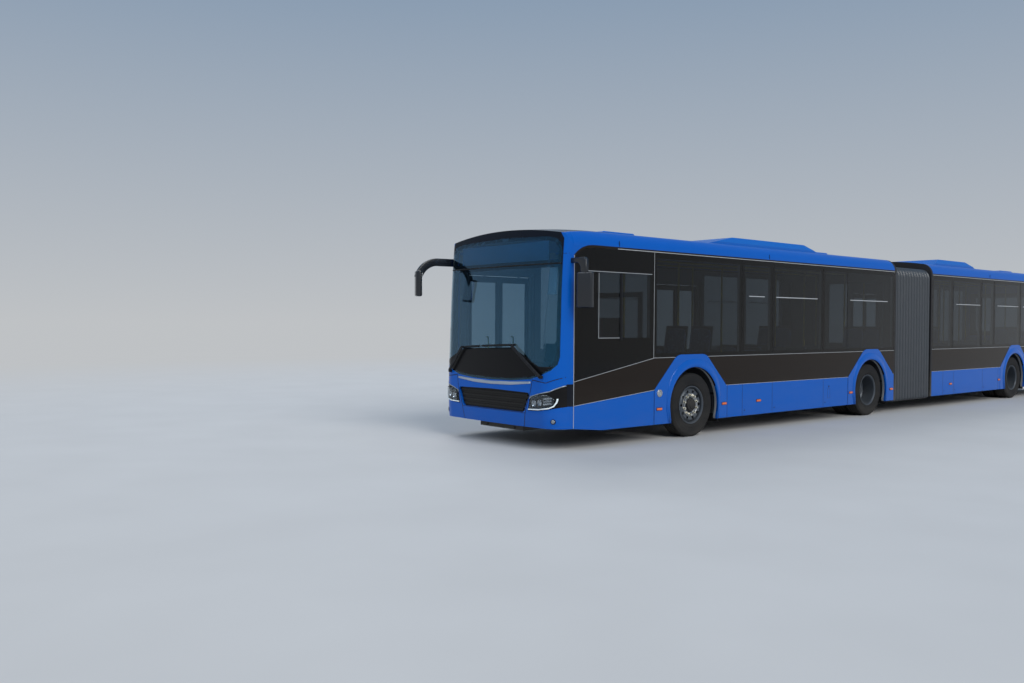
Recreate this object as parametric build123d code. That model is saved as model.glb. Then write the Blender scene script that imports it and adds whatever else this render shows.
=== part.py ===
from build123d import *
import math
import os

os.makedirs("parts", exist_ok=True)

# Frame: +X forward, +Y left, +Z up, ground at Z = 0, all sizes in mm.
# Lengths are given as stations s, counted backwards from the front plane.
X0 = 8725.0


def X(s):
    return X0 - s


# ---------------------------------------------------------------- named sizes
W = 1275.0                      # half width over the body
WALL = 60.0                     # whole wall, panel to lining
GLASS = 12.0                    # pane in its rebate
SKIRT_Z = 245.0                 # lower edge of the sides
FRONT_Z = 300.0                 # lower edge of the bumper
BAND_Z = 1210.0                 # lower edge of the window band
COVE_Z = 2730.0                 # where the side turns into the roof
COVE_R = 235.0
CROWN_Z, BROW_R = 3045.0, 7100.0    # roof's crown; its curve across, over the mask
FLOOR_Z, FLOOR_T = 350.0, 40.0
SEAM = 250.0                    # front mask to side panel
F_END, R_START = 8920.0, 10380.0
RING = 60.0                     # end frames that carry the bellows
PIVOT = (F_END + R_START) / 2
TAIL = 17980.0
TAIL_SEAM = TAIL - 240          # side panels to rear mask
FRONT_R = 14000.0               # plan radius of the front and rear faces
AXLES = {"front": 2775.0, "mid": 7975.0, "drive": 14605.0}
ARCH_R, ARCH_HALF = 570.0, 540.0
TYRE_R, TYRE_W, RIM_R = 479.0, 275.0, 286.0
TYRE_Y, TWIN_Y = 1105.0, 795.0  # outer and inner wheel centres
KING_Y = 985.0
SPINDLE_R, STUB_R, RUN = 60.0, 44.0, 0.08       # wheel shafts and their running gap
BOX_Y, BOX_Z, BOX_HALF = 540.0, 1100.0, 640.0   # wheel boxes inside
SEAT_GAP = 0.3                  # between solids that sit in or on each other
# Doors: first jamb station, jamb to jamb, all on the right-hand side.
DOORS = {"d1": 430.0, "d2": 4760.0, "d3": 11750.0}
DOOR_W, DOOR_Z0, DOOR_Z1 = 1250.0, 352.0, 2430.0
ENTRY_Z = 325.0                 # floor just inside the doors
LEAF_T, POST_R, POST_Y, POST_BACK, ARM = 36.0, 18.0, -1190.0, 45.0, 325.0
JAMB_GAP, MID_GAP, ARM_T, PIN_R = 14.0, 5.0, 16.0, 10.0


# -------------------------------------------------------------------- helpers
def box(s0, s1, y0, y1, z0, z1):
    centre = Pos((X(s0) + X(s1)) / 2, (y0 + y1) / 2, (z0 + z1) / 2)
    return centre * Box(abs(s1 - s0), abs(y1 - y0), abs(z1 - z0))


def polygon(points):
    return Face(Wire.make_polygon(points, close=True))


def prism_x(yz, s0, s1):
    return Solid.extrude(polygon([(X(s1), y, z) for y, z in yz]), (s1 - s0, 0, 0))


def prism_y(sz, y0, y1):
    return Solid.extrude(polygon([(X(s), y0, z) for s, z in sz]), (0, y1 - y0, 0))


def prism_z(sy, z0, z1):
    return Solid.extrude(polygon([(X(s), y, z0) for s, y in sy]), (0, 0, z1 - z0))


def cyl_y(s, z, r, y0, y1):
    plane = Plane(origin=(X(s), min(y0, y1), z), x_dir=(1, 0, 0), z_dir=(0, 1, 0))
    return Solid.make_cylinder(r, abs(y1 - y0), plane)


def cyl_z(s, y, r, z0, z1):
    return Solid.make_cylinder(r, z1 - z0, Plane(origin=(X(s), y, z0)))


def rod(a, b, r):
    """A bar between two (s, y, z) points."""
    p, q = Vector(X(a[0]), a[1], a[2]), Vector(X(b[0]), b[1], b[2])
    return Solid.make_cylinder(r, (q - p).length, Plane(origin=p, z_dir=q - p))


def turned(profile, s, z):
    """Revolve (radius, y) points about the wheel axis at station s."""
    return Solid.revolve(
        polygon([(X(s), y, z + r) for r, y in profile]), 360,
        Axis((X(s), 0, z), (0, 1, 0)))


def flip(shape):
    return mirror(shape, about=Plane.XZ)


def side(shape, left):
    """Shapes are drawn on the left; the right-hand one is mirrored."""
    return shape if left else flip(shape)


def write(shape, name):
    solids = shape.solids() if hasattr(shape, "solids") else [
        s for item in shape for s in item.solids()]
    export_step(solids[0] if len(solids) == 1 else Compound(children=list(solids)),
                f"parts/{name}.step")


def merged(shapes):
    shapes = list(shapes)
    return shapes[0].fuse(*shapes[1:]) if len(shapes) > 1 else shapes[0]


def group(*shapes):
    out = []
    for item in shapes:
        out += list(item.solids()) if hasattr(item, "solids") else [
            s for one in item for s in one.solids()]
    return Compound(children=out)


# ------------------------------------------------------------- body envelopes
def tunnel(s0, s1, inset, z0):
    """The cross-section of sides and roof, run from s0 to s1."""
    w, r = W - inset, COVE_R - inset
    c, h = W - COVE_R, CROWN_Z - COVE_Z
    big = (c * c + h * h - COVE_R ** 2) / (2 * (h - COVE_R))
    uy, uz = c / (big - COVE_R), (big - h) / (big - COVE_R)
    my, mz = (uy + 1), uz
    m = math.hypot(my, mz)
    x = X(s1)
    a = (x, w, COVE_Z)
    mid = (x, c + r * my / m, COVE_Z + r * mz / m)
    b = (x, c + r * uy, COVE_Z + r * uz)
    other = lambda p: (p[0], -p[1], p[2])
    legs = [] if z0 == COVE_Z else [Edge.make_line((x, w, z0), a),
                                    Edge.make_line(other(a), (x, -w, z0))]
    wire = Wire(legs + [
        Edge.make_three_point_arc(a, mid, b),
        Edge.make_three_point_arc(b, (x, 0, CROWN_Z - inset), other(b)),
        Edge.make_three_point_arc(other(b), other(mid), other(a)),
        Edge.make_line((x, -w, z0), (x, w, z0))])
    return Solid.extrude(Face(wire), (s1 - s0, 0, 0))


def plan_wire(nose, seam, back, inset, z):
    """Plan outline at height z, a little wider than the sides that trim it."""
    k = 1 if seam > nose else -1
    d, w, big = abs(seam - nose) - inset, W + 2 - inset, FRONT_R - inset
    r = (2 * big * d - d * d - w * w) / (2 * (big - w))
    top = nose + k * inset
    cs, cy = seam, w - r
    f = top + k * big
    us, uy = (cs - f) / (big - r), cy / (big - r)
    ms, my = us, uy + 1
    m = math.hypot(ms, my)
    P = lambda s, y: (X(s), y, z)
    b, mid, c = (seam, w), (cs + r * ms / m, cy + r * my / m), (f + big * us, big * uy)
    neg = lambda p: (p[0], -p[1])
    return Wire([
        Edge.make_line(P(back, w), P(*b)),
        Edge.make_three_point_arc(P(*b), P(*mid), P(*c)),
        Edge.make_three_point_arc(P(*c), P(top, 0), P(*neg(c))),
        Edge.make_three_point_arc(P(*neg(c)), P(*neg(mid)), P(*neg(b))),
        Edge.make_line(P(*neg(b)), P(back, -w)),
        Edge.make_line(P(back, -w), P(back, w))])


# Front face in side view: height, station of the nose.
NOSE = -110.0                   # its foremost point
FRONT_FACE = [(200, NOSE + 50), (520, NOSE), (900, NOSE), (1750, NOSE + 50), (2500, NOSE + 120),
              (3100, NOSE + 210)]


def dome(inset):
    """Below the crowned curve by which the roof falls to the front."""
    r, s1, drop, swing = 8000.0, 1000.0, CROWN_Z + 1 - inset, 25
    z = lambda s: drop - (s1 - s) ** 2 / (2 * r)
    P = lambda s, h: (X(s), 0, h)
    wire = Wire([
        Edge.make_three_point_arc(P(s1, z(s1)), P(400, z(400)), P(-200, z(-200))),
        Edge.make_line(P(-200, z(-200)), P(-200, 100)),
        Edge.make_line(P(-200, 100), P(s1, 100)),
        Edge.make_line(P(s1, 100), P(s1, z(s1)))])
    along = Axis((0, 0, CROWN_Z - BROW_R), (1, 0, 0))
    return Solid.revolve(Face(wire), 2 * swing, along).rotate(along, -swing)


def nose(inset, z0, back=SEAM):
    loft = Solid.make_loft([plan_wire(n, SEAM, SEAM + 100, inset, z)
                            for z, n in FRONT_FACE])
    return loft & tunnel(-200, back, inset, z0) & dome(inset)


def tail(inset, z0):
    plan = Solid.extrude(Face(plan_wire(TAIL, TAIL_SEAM, TAIL_SEAM - 100, inset, z0)),
                         (0, 0, 3200 - z0))
    return plan & tunnel(TAIL_SEAM, TAIL + 100, inset, z0)


# ------------------------------------------------------------ sides and glass
BAY = 5.0                       # half of the joint between two panes
# Panes as (station, height) outlines with the aperture behind each.
def pane(s0, s1, z0=BAND_Z, z1=2715.0):
    return ([(s0 + BAY, z0), (s1 - BAY, z0), (s1 - BAY, z1), (s0 + BAY, z1)],
            [(s0 + 60, z0 + 60), (s1 - 60, z0 + 60), (s1 - 60, z1 - 75), (s0 + 60, z1 - 75)])


DRIVER = ([(SEAM + 15, 930), (1845, BAND_Z), (1845, 2715), (SEAM + 370, 2715), (SEAM + 230, 2700),
           (SEAM + 100, 2650), (SEAM + 15, 2560)],
          [(690, 1500), (1780, 1500), (1780, 2400), (690, 2400)])
SPAN = {"front": (SEAM, F_END - RING), "rear": (R_START + RING, TAIL_SEAM)}
BESIDE = 120.0                  # pillar between a doorway and the next pane
BEFORE = {d: s - BESIDE for d, s in DOORS.items()}
BEHIND = {d: s + DOOR_W + BESIDE for d, s in DOORS.items()}
PANES = {
    ("front", True): [DRIVER] + [pane(a, b) for a, b in (
        (1850, 3960), (3960, 4800), (4800, 6330), (6330, SPAN["front"][1]))],
    ("front", False): [pane(a, b) for a, b in (
        (1850, 3200), (3200, BEFORE["d2"]), (BEHIND["d2"], 7500), (7500, SPAN["front"][1]))],
    ("rear", True): [pane(a, b) for a, b in (
        (SPAN["rear"][0], 11350), (11350, 12760), (12760, 13450), (13450, 14920),
        (14920, 16300), (16300, TAIL_SEAM))],
    ("rear", False): [pane(a, b) for a, b in (
        (SPAN["rear"][0], BEFORE["d3"]), (BEHIND["d3"], 14600), (14600, 16200),
        (16200, TAIL_SEAM))],
}
SECTION_OF = {"front": "front", "mid": "front", "drive": "rear"}
DOOR_OF = {"d1": "front", "d2": "front", "d3": "rear"}


def arch_cut(s, z, y0, y1, r=ARCH_R, half=ARCH_HALF):
    return cyl_y(s, z, r, y0, y1) + box(s - half, s + half, y0, y1, 100, z)


def wall(section, left):
    s0, s1 = SPAN[section]
    body = box(s0, s1, W - WALL, W, SKIRT_Z, COVE_Z)
    cuts = []
    for outline, hole in PANES[section, left]:
        cuts += [prism_y(outline, W - GLASS, W + 5), prism_y(hole, W - WALL - 5, W + 5)]
    for name, s in AXLES.items():
        if SECTION_OF[name] == section:
            cuts.append(arch_cut(s, TYRE_R, W - WALL - 5, W + 5))
    bearings = []
    if not left:
        for name, s in DOORS.items():
            if DOOR_OF[name] == section:
                cuts.append(box(s, s + DOOR_W, W - WALL - 5, W + 5, DOOR_Z0 - 6, DOOR_Z1 + 5))
                for p in (s - POST_BACK, s + DOOR_W + POST_BACK):
                    bearings.append(box(p - 30, p + 30, -POST_Y - 30, W - WALL + 5, 2462, 2478)
                                    - cyl_z(p, -POST_Y, POST_R + 0.1, 2400, 2500))
    if section == "front":      # the skirt rises to the bumper
        cuts.append(prism_y([(SEAM - 5, SKIRT_Z - 5), (SEAM - 5, FRONT_Z), (SEAM + 600, SKIRT_Z - 5)],
                            W - WALL - 5, W + 5))
    body = body.cut(*[c for cut in cuts for c in cut.solids()])
    body = body.fuse(*bearings) if bearings else body
    for name, s in AXLES.items():
        if SECTION_OF[name] == section:
            lip = (cyl_y(s, TYRE_R, ARCH_R + 65, W - 20, W + 12)
                   + box(s - ARCH_HALF - 65, s + ARCH_HALF + 65, W - 20, W + 12, SKIRT_Z, TYRE_R)
                   - arch_cut(s, TYRE_R, W - WALL - 5, W + 15))
            body = body + (lip & box(s - 700, s + 700, 0, W + 50, SKIRT_Z, 1300))
    return side(body, left)


def panes(section, left):
    out = [prism_y(outline, W - GLASS, W) for outline, _ in PANES[section, left]]
    return [side(p, left) for p in out]


for section in ("front", "rear"):
    for left in (True, False):
        write(wall(section, left), f"wall_{'left' if left else 'right'}_{section}")

# Roofs: shells of the same cross-section, the front one falling to the mask.
def roof(s0, s1):
    shell = tunnel(s0, s1, 0, COVE_Z) - tunnel(s0 - 5, s1 + 5, WALL, COVE_Z - 5)
    return shell


falling = (tunnel(SEAM, 1000, 0, COVE_Z) & dome(0)) - (
    tunnel(SEAM - 5, 1000, WALL, COVE_Z - 5) & dome(WALL))
write(falling + roof(1000, F_END - RING), "roof_front")
write(roof(R_START + RING, TAIL_SEAM), "roof_rear")

# Roof fairings: low covers with sloped ends. Foot, shoulder, shoulder, foot, top.
HUMPS = {"front": (3450, 4150, 6230, 6560, 3105), "rear": (11050, 11400, 12700, 13050, 3105)}


def hump(s0, s1, s2, s3, top):
    outline = [(s0, 2960), (s3, 2960), (s3, 2975), (s2, top), (s1, top), (s0, 2975)]
    body = prism_y(outline, -1000, 1000)
    taper = prism_x([(-1000, 2900), (-1000, 3010), (-930, top + 5), (930, top + 5),
                     (1000, 3010), (1000, 2900)], s0 - 5, s3 + 5)
    return (body & taper) - tunnel(s0 - 10, s3 + 10, 0, 2500)


# Escape hatches in the roof: stations of the first edge, all alike.
HATCHES, HATCH_LONG, HATCH_Y, HATCH_TOP = {"front": (1750, 7300), "rear": (13700, 16100)}, 700, 360, 3090


def hatch(s):
    lid = box(s, s + HATCH_LONG, -HATCH_Y, HATCH_Y, 2900, HATCH_TOP)
    lid = fillet(lid.edges().filter_by(Axis.Z), 40)
    return chamfer(lid.faces().sort_by(Axis.Z)[-1].edges(), 14) - tunnel(
        s - 10, s + HATCH_LONG + 10, 0, 2500)


for section, row in HUMPS.items():
    write(group(hump(*row), *[hatch(s) for s in HATCHES[section]]), f"fairing_{section}")

# ------------------------------------------------------------------ front mask
mask = nose(0, FRONT_Z) - nose(WALL, FRONT_Z - 60, SEAM + 5)
skin = nose(0, FRONT_Z) - nose(GLASS, FRONT_Z - 60, SEAM + 5)
# Windscreen outline (y, z), half of it; the other half is mirrored.
SCREEN = [(0, 905), (450, 915), (790, 945), (1000, 1010), (1130, 1075), (1195, 1150),
          (1213, 1250), (1213, 2380), (1201, 2485)]
DISPLAY = [(0, 2491), (1200, 2491), (1204, 2640), (1180, 2760), (1100, 2825), (900, 2862), (0, 2885)]


def both(half):
    return half + [(-y, z) for y, z in reversed(half) if y]


def shrunk(points, d, cy=0.0):
    """Outline pulled in by about d towards its middle height and centre."""
    mid = (min(z for _, z in points) + max(z for _, z in points)) / 2
    return [(y - math.copysign(min(d, abs(y)), y), z + (d if z < mid else -d))
            for y, z in points]


screen = prism_x(both(SCREEN), -150, SEAM)
display = prism_x(both(DISPLAY), -150, SEAM)
glass_screen = (skin & screen)
glass_display = (skin & display)
LAMP = [(755, 525), (960, 535), (1165, 570), (1262, 595), (1262, 885), (1122, 805), (795, 720)]
GRILLE = [(0, 495), (650, 495), (690, 520), (780, 735), (765, 765), (0, 780)]
lamp_zone = prism_x(LAMP, -150, SEAM - 15)
lamp_zone = lamp_zone + flip(lamp_zone)
grille_zone = prism_x(both(GRILLE), -150, NOSE + 100)
thick = nose(0, FRONT_Z) - nose(30, FRONT_Z - 60, SEAM + 5)
lamps = thick & lamp_zone
mask = mask - glass_screen - glass_display - lamp_zone
for hole in (both(shrunk(SCREEN, 45)), both(shrunk(DISPLAY, 45))):
    mask = mask - prism_x(hole, -150, SEAM)
mask = mask - grille_zone
write(mask, "front_mask")
write(group(glass_screen, glass_display), "windscreen")
write(group(lamps), "headlamps")
slats = [prism_x([(-(640 + i * 28), 520 + i * 66), (640 + i * 28, 520 + i * 66),
                  (650 + i * 28, 545 + i * 66), (-(650 + i * 28), 545 + i * 66)], NOSE + 32, NOSE + 58)
         for i in range(4)]
write(merged([prism_x(both(GRILLE), NOSE + 52, NOSE + 72)] + slats), "grille")

# ------------------------------------------------------------------- rear mask
tail_shell = tail(0, FRONT_Z) - tail(WALL, FRONT_Z - 60)
rear_glass = prism_x([(-1050, 1500), (1050, 1500), (1050, 2500), (-1050, 2500)],
                     TAIL - 200, TAIL + 50)
rear_hole = prism_x([(-1000, 1550), (1000, 1550), (1000, 2450), (-1000, 2450)],
                    TAIL - 200, TAIL + 50)
tail_skin = tail(0, FRONT_Z) - tail(GLASS, FRONT_Z - 60)
TAIL_LAMPS = [(z, z + 150) for z in (700, 880, 1060)]
lamp_cut = merged([prism_x([(1080, a), (1200, a), (1200, b), (1080, b)], TAIL - 200, TAIL + 50)
                   for a, b in TAIL_LAMPS])
lamp_cut = group(lamp_cut, flip(lamp_cut))
tail_thick = tail(0, FRONT_Z) - tail(30, FRONT_Z - 60)
pane_rear = tail_skin & rear_glass
# Engine flap: slots of one depth under the rear pane.
LOUVRES, LOUVRE_Y, LOUVRE_TALL, LOUVRE_DEEP = range(800, 1340, 90), 860, 45, 18
slots = merged([box(TAIL - 100, TAIL + 50, -LOUVRE_Y, LOUVRE_Y, z, z + LOUVRE_TALL) for z in LOUVRES])
slots = slots & (tail(0, FRONT_Z) - tail(LOUVRE_DEEP, FRONT_Z - 60))
write(tail_shell - rear_glass.intersect(tail_skin) - rear_hole - (tail_thick & lamp_cut) - slots,
      "tail_mask")
write(group(tail_thick & lamp_cut), "tail_lamps")
for section in ("front", "rear"):
    extra = [pane_rear] if section == "rear" else []
    write(group(*panes(section, True), *panes(section, False), *extra), f"glass_{section}")

# ------------------------------------------------------------- floors, frames
def floor(section):
    s0, s1 = SPAN[section]
    s0, s1 = (s0 + 60, s1) if section == "front" else (s0, s1 - 60)
    slab = box(s0, s1, -(W - WALL), W - WALL, FLOOR_Z - FLOOR_T, FLOOR_Z)
    on_it = []
    for name, s in AXLES.items():
        if SECTION_OF[name] != section:
            continue
        for left in (True, False):
            hole = box(s - BOX_HALF, s + BOX_HALF, BOX_Y - 20, W, 300, 400)
            well = box(s - BOX_HALF + SEAT_GAP, s + BOX_HALF - SEAT_GAP, BOX_Y - 20 + SEAT_GAP,
                       W - WALL, FLOOR_Z - FLOOR_T, BOX_Z)
            room = box(s - BOX_HALF + 20, s + BOX_HALF - 20, BOX_Y, W - WALL + 5, 0, BOX_Z - 20)
            slab = slab - side(hole, left)
            on_it.append(side(well - room, left))
    if section == "rear":
        on_it.append(box(16700, 17640, 110, W - WALL, FLOOR_Z + SEAT_GAP, 1400) - box(
            16720, 17620, 130, W - WALL - 20, FLOOR_Z, 1380))
    for name, s in DOORS.items():
        if DOOR_OF[name] == section:
            slab = slab - box(s - BESIDE, s + DOOR_W + BESIDE, -W, -610, ENTRY_Z, FLOOR_Z + 5)
    return group(slab, *on_it)


for section in ("front", "rear"):
    write(floor(section), f"floor_{section}")

# Ladder frames under the floors: two long rails, cross members at the stations
# listed, and the boxes hung between them.
RAIL_Y, RAIL_Z0, RAIL_Z1 = 430.0, 215.0, FLOOR_Z - FLOOR_T
FRAMES = {
    "front": (70, F_END, [500, 1300, 2050, 3500, 4700, 5900, 7250, 8800],
              [(4100, 4600, 480, 1180), (5200, 5800, 480, 1180)]),
    "rear": (R_START, TAIL - 100, [10500, 11500, 12500, 13800, 15400, 16300, 17200],
             [(10900, 11500, 480, 1180), (12900, 13500, 480, 1180)]),
}
AXLE_GAP = 110.0                # half of the gap in the rails over each axle
SHAFT_END = 16640.0             # propeller shaft, from the axle to the gearbox
TOW_Y, TOW_Z, TOW_R, TOW_DEEP = 300.0, 243.0, 18.0, 70.0   # towing-eye sockets


def frame(section):
    s0, s1, cross, tanks = FRAMES[section]
    parts = [box(s0, s1, k * RAIL_Y - 40, k * RAIL_Y + 40, RAIL_Z0, RAIL_Z1) for k in (-1, 1)]
    parts += [box(c - 35, c + 35, -RAIL_Y, RAIL_Y, RAIL_Z0 + 10, RAIL_Z1) for c in cross]
    parts += [side(box(t0, t1, y0, y1, 225, RAIL_Z1), left)
              for t0, t1, y0, y1 in tanks for left in (True, False)]
    parts += [box(k - 30, k + 30, -1180, 1180, 270, RAIL_Z1) for k in cross
              if all(abs(k - AXLES[n]) > BOX_HALF + 60 for n in AXLES)]
    end, into = (s0, s0 + TOW_DEEP) if section == "front" else (s1, s1 - TOW_DEEP)
    parts.append(box(end, into, -RAIL_Y, RAIL_Y, RAIL_Z0, RAIL_Z1))
    whole = merged(parts)
    for name, s in AXLES.items():
        whole = whole - box(s - AXLE_GAP, s + AXLE_GAP, -1300, 1300, 150, 400)
    if section == "rear":
        whole = whole - box(AXLES["drive"], SHAFT_END + 10, 165, 255, 150, 262) + box(
            SHAFT_END + 10, 17450, 60, 440, 190, RAIL_Z1)
    for k in (-1, 1):
        whole = whole - rod((end, k * TOW_Y, TOW_Z), (into, k * TOW_Y, TOW_Z), TOW_R)
    return whole


# Articulation: a ring on each body end, the front beam with the bearing's lower
# half, the rear beam with its upper half and the round platform of the gangway.
DISC_R, PLATE_R = 330.0, 640.0


def end_ring(s0, s1):
    ring = tunnel(s0, s1, 0, SKIRT_Z) - box(s0 - 5, s1 + 5, -1040, 1040, FLOOR_Z, 2600)
    return ring - box(s0 - 5, s1 + 5, -1215, 1215, 0, 205)


beam_front = merged([
    end_ring(F_END - RING, F_END),
    box(F_END - 5, PIVOT, -260, 260, 270, 290), cyl_z(PIVOT, 0, DISC_R, 270, 290)])
beam_rear = merged([
    end_ring(R_START, R_START + RING),
    box(PIVOT, R_START + 5, -260, 260, 295, 315), cyl_z(PIVOT, 0, DISC_R, 295, 315),
    cyl_z(PIVOT, 0, 120, 310, FLOOR_Z - 20), cyl_z(PIVOT, 0, PLATE_R, FLOOR_Z - 22, FLOOR_Z)])


def tongue(near, far):
    """Fixed step of the gangway floor, hollowed round the platform."""
    return prism_z([(near, -600), (near, 600), (far, 560), (far, -560)],
                   FLOOR_Z - 22, FLOOR_Z) - cyl_z(PIVOT, 0, PLATE_R + 8, 0, 500)


beam_front = beam_front + tongue(F_END - 5, PIVOT - 380)
beam_rear = beam_rear + tongue(R_START + 5, PIVOT + 380)
write(beam_front, "joint_front")
write(beam_rear, "joint_rear")
for section in ("front", "rear"):
    cut = box(F_END - RING - 1, F_END + 10, -1300, 1300, 0, 500) if section == "front" else box(
        R_START - 10, R_START + RING + 1, -1300, 1300, 0, 500)
    write(frame(section) - cut, f"underframe_{section}")

# Bellows: folds as rings of two sizes, one solid round the gangway.
FOLDS, BELLOWS_Z0, BELLOWS_Z1 = 18, 205.0, 2840.0


def bellows_section(s, inset):
    w, r, z0, z1 = 1262 - inset, 190 - inset, BELLOWS_Z0 + inset, BELLOWS_Z1 - inset
    h = r * (1 - math.sqrt(0.5))
    P = lambda y, z: (X(s), y, z)
    return Wire([
        Edge.make_line(P(w, z0), P(w, z1 - r)),
        Edge.make_three_point_arc(P(w, z1 - r), P(w - h, z1 - h), P(w - r, z1)),
        Edge.make_line(P(w - r, z1), P(r - w, z1)),
        Edge.make_three_point_arc(P(r - w, z1), P(h - w, z1 - h), P(-w, z1 - r)),
        Edge.make_line(P(-w, z1 - r), P(-w, z0)),
        Edge.make_line(P(-w, z0), P(w, z0))])


pitch = (R_START - F_END) / (2 * FOLDS)
stops = [(F_END + i * pitch, 45 * (i % 2 == 0)) for i in range(2 * FOLDS + 1)]
outer = Solid.make_loft([bellows_section(s, d) for s, d in stops], ruled=True)
inner = Solid.make_loft([bellows_section(s, d + 14) for s, d in
                         [(F_END - 5, 45)] + stops[1:-1] + [(R_START + 5, 45)]], ruled=True)
write(outer - inner, "bellows")

# ------------------------------------------------------------- axles, steering
def beam(s, ends, half=50):
    """Axle beam drawn as its (y, z) outline on the left, mirrored."""
    return prism_x(both(ends), s - half, s + half)


STEERED = [(0, 200), (690, 200), (900, 430), (945, 430), (945, 528), (880, 528), (640, 298),
           (0, 298)]
DEAD = [(0, 200), (585, 200), (700, 400), (700, 560), (600, 560), (540, 298), (0, 298)]


def both_sides(shape):
    return [shape, flip(shape)]


def axle_links(s):
    """Short arms that seat an axle beam against the ends of the rails."""
    return [box(s + k * 40, s + k * AXLE_GAP, j * RAIL_Y - 30, j * RAIL_Y + 30, 225, 290)
            for k in (-1, 1) for j in (-1, 1)]


s = AXLES["front"]
eye = cyl_z(s, KING_Y, 42, 409, 549)
pin = cyl_z(s, KING_Y, 18, 372, 586)
front_axle = merged([beam(s, STEERED)] + both_sides(eye + pin + box(s - 30, s + 30, 930, 960, 430, 528)))
front_axle = merged([front_axle] + axle_links(s))
axles = {"axles_front": [front_axle]}
for name in ("mid", "drive"):
    s = AXLES[name]
    spindle = cyl_y(s, TYRE_R, SPINDLE_R, 600, 1000)
    parts = [beam(s, DEAD)] + both_sides(spindle) + axle_links(s)
    if name == "drive":
        parts.append(cyl_y(s, 300, 150, 90, 330) & box(s - 200, s + 200, 0, 400, 170, 300))
        parts.append(rod((s + 40, 210, 226), (SHAFT_END, 210, 226), 30))
    axles.setdefault(f"axles_{SECTION_OF[name]}", []).append(merged(parts))
for name, shapes in axles.items():
    write(group(*shapes), name)

s = AXLES["front"]
yoke = (box(s - 55, s + 55, KING_Y - 55, KING_Y + 90, 372, 586)
        - box(s - 80, s + 80, KING_Y - 80, KING_Y + 50, 404, 554)
        - cyl_z(s, KING_Y, 19, 300, 700))
knuckle = yoke + cyl_y(s, TYRE_R, STUB_R, KING_Y + 60, TYRE_Y + 55)
for left in (True, False):
    write(side(knuckle, left), f"knuckle_{'left' if left else 'right'}")

# ---------------------------------------------------------------------- wheels
TREAD = [(RIM_R, -112), (320, -130), (400, -TYRE_W / 2), (462, -124), (TYRE_R, -108),
         (TYRE_R, 108), (462, 124), (400, TYRE_W / 2), (320, 130), (RIM_R, 112)]
FRONT_RIM = [(0, 96), (96, 96), (110, 78), (150, 78), (222, 98), (262, 62), (262, 100),
             (274, 118), (RIM_R, 118), (RIM_R, -118), (262, -118), (262, 40), (222, 84),
             (150, 62), (110, 62), (110, -30), (STUB_R + RUN, -30), (STUB_R + RUN, 60), (0, 60)]
TWIN_RIM = [(0, 105), (104, 105), (120, 90), (120, 16), (238, 16), (262, 35), (262, 255),
            (274, 273), (RIM_R, 273), (RIM_R, 37), (276, 30), (276, -30), (RIM_R, -37),
            (RIM_R, -273), (262, -273), (262, -25), (238, -6), (150, -6), (150, -180),
            (SPINDLE_R + RUN, -180), (SPINDLE_R + RUN, 60), (0, 60)]
HAND_HOLES = 10


def wheel(name, s):
    mid = (TYRE_Y + TWIN_Y) / 2
    if name == "front":
        rims = turned([(r, y + TYRE_Y) for r, y in FRONT_RIM], s, TYRE_R)
        at, y0, y1, r = 204, TYRE_Y + 40, TYRE_Y + 130, 24
        tyres = [turned([(r, y + TYRE_Y) for r, y in TREAD], s, TYRE_R)]
    else:
        rims = turned([(r, y + mid) for r, y in TWIN_RIM], s, TYRE_R)
        at, y0, y1, r = 200, mid - 15, mid + 30, 24
        tyres = [turned([(r, y + c) for r, y in TREAD], s, TYRE_R) for c in (TYRE_Y, TWIN_Y)]
    holes = [cyl_y(s + at * math.cos(a), TYRE_R + at * math.sin(a), r, y0, y1)
             for a in (2 * math.pi * i / HAND_HOLES for i in range(HAND_HOLES))]
    return tyres, rims.cut(*holes)


for name, s in AXLES.items():
    tyres, rims = wheel(name, s)
    for left in (True, False):
        tag = f"{name}_{'left' if left else 'right'}"
        write(group(*[side(t, left) for t in tyres]), f"tyre_{tag}")
        write(group(side(rims, left)), f"rim_{tag}")

# ----------------------------------------------------------------------- doors
# Each leaf hangs on two arms of an upright post and turns back twice as fast
# as the post, so that its free edge runs along the doorway.
def leaf_and_post(jamb, k):
    """k = 1 for the leaf at the front jamb, -1 for the one at the rear jamb."""
    post_s = jamb - k * POST_BACK
    q = post_s + k * ARM
    a, b = jamb + k * JAMB_GAP, jamb + k * (DOOR_W / 2 - MID_GAP)
    face = -W
    leaf = box(a, b, face, face + LEAF_T, DOOR_Z0, DOOR_Z1)
    for z0, z1 in ((440, 1090), (1130, DOOR_Z1 - 90)):
        for y0, y1 in ((face - 1, face + 8), (face + LEAF_T - 10, face + LEAF_T + 1)):
            leaf = leaf - box(a + k * 55, b - k * 55, y0, y1, z0, z1)
    inside, grip = face + LEAF_T, q + k * 90
    arms = ((ENTRY_Z + 6, DOOR_Z0 + 20), (DOOR_Z1 + 5, DOOR_Z1 - 20))
    fittings, links = [], []
    for arm_z, lug_z in arms:       # lower arm under the leaf, upper arm over it
        low, high = sorted((lug_z, DOOR_Z0 + 1 if lug_z < 1000 else DOOR_Z1 - 1))
        fittings += [box(q - 22, q + 22, inside - 2, POST_Y + 14, low, high),
                     cyl_z(q, POST_Y, PIN_R, min(low, arm_z), max(high, arm_z + ARM_T))]
        links += [box(post_s, q, POST_Y - 14, POST_Y + 14, arm_z, arm_z + ARM_T),
                  cyl_z(q, POST_Y, 20, arm_z, arm_z + ARM_T)]
    fittings += [rod((grip, inside + 35, 1000), (grip, inside + 35, 1500), 12)]
    fittings += [box(grip - 8, grip + 8, inside - 12, inside + 35, z, z + 20)
                 for z in (1010, 1470)]
    post = merged([cyl_z(post_s, POST_Y, POST_R, ENTRY_Z, 2500)] + links)
    post = post - cyl_z(q, POST_Y, PIN_R + 0.1, 300, 2500)
    return merged([leaf] + fittings), post


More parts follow.
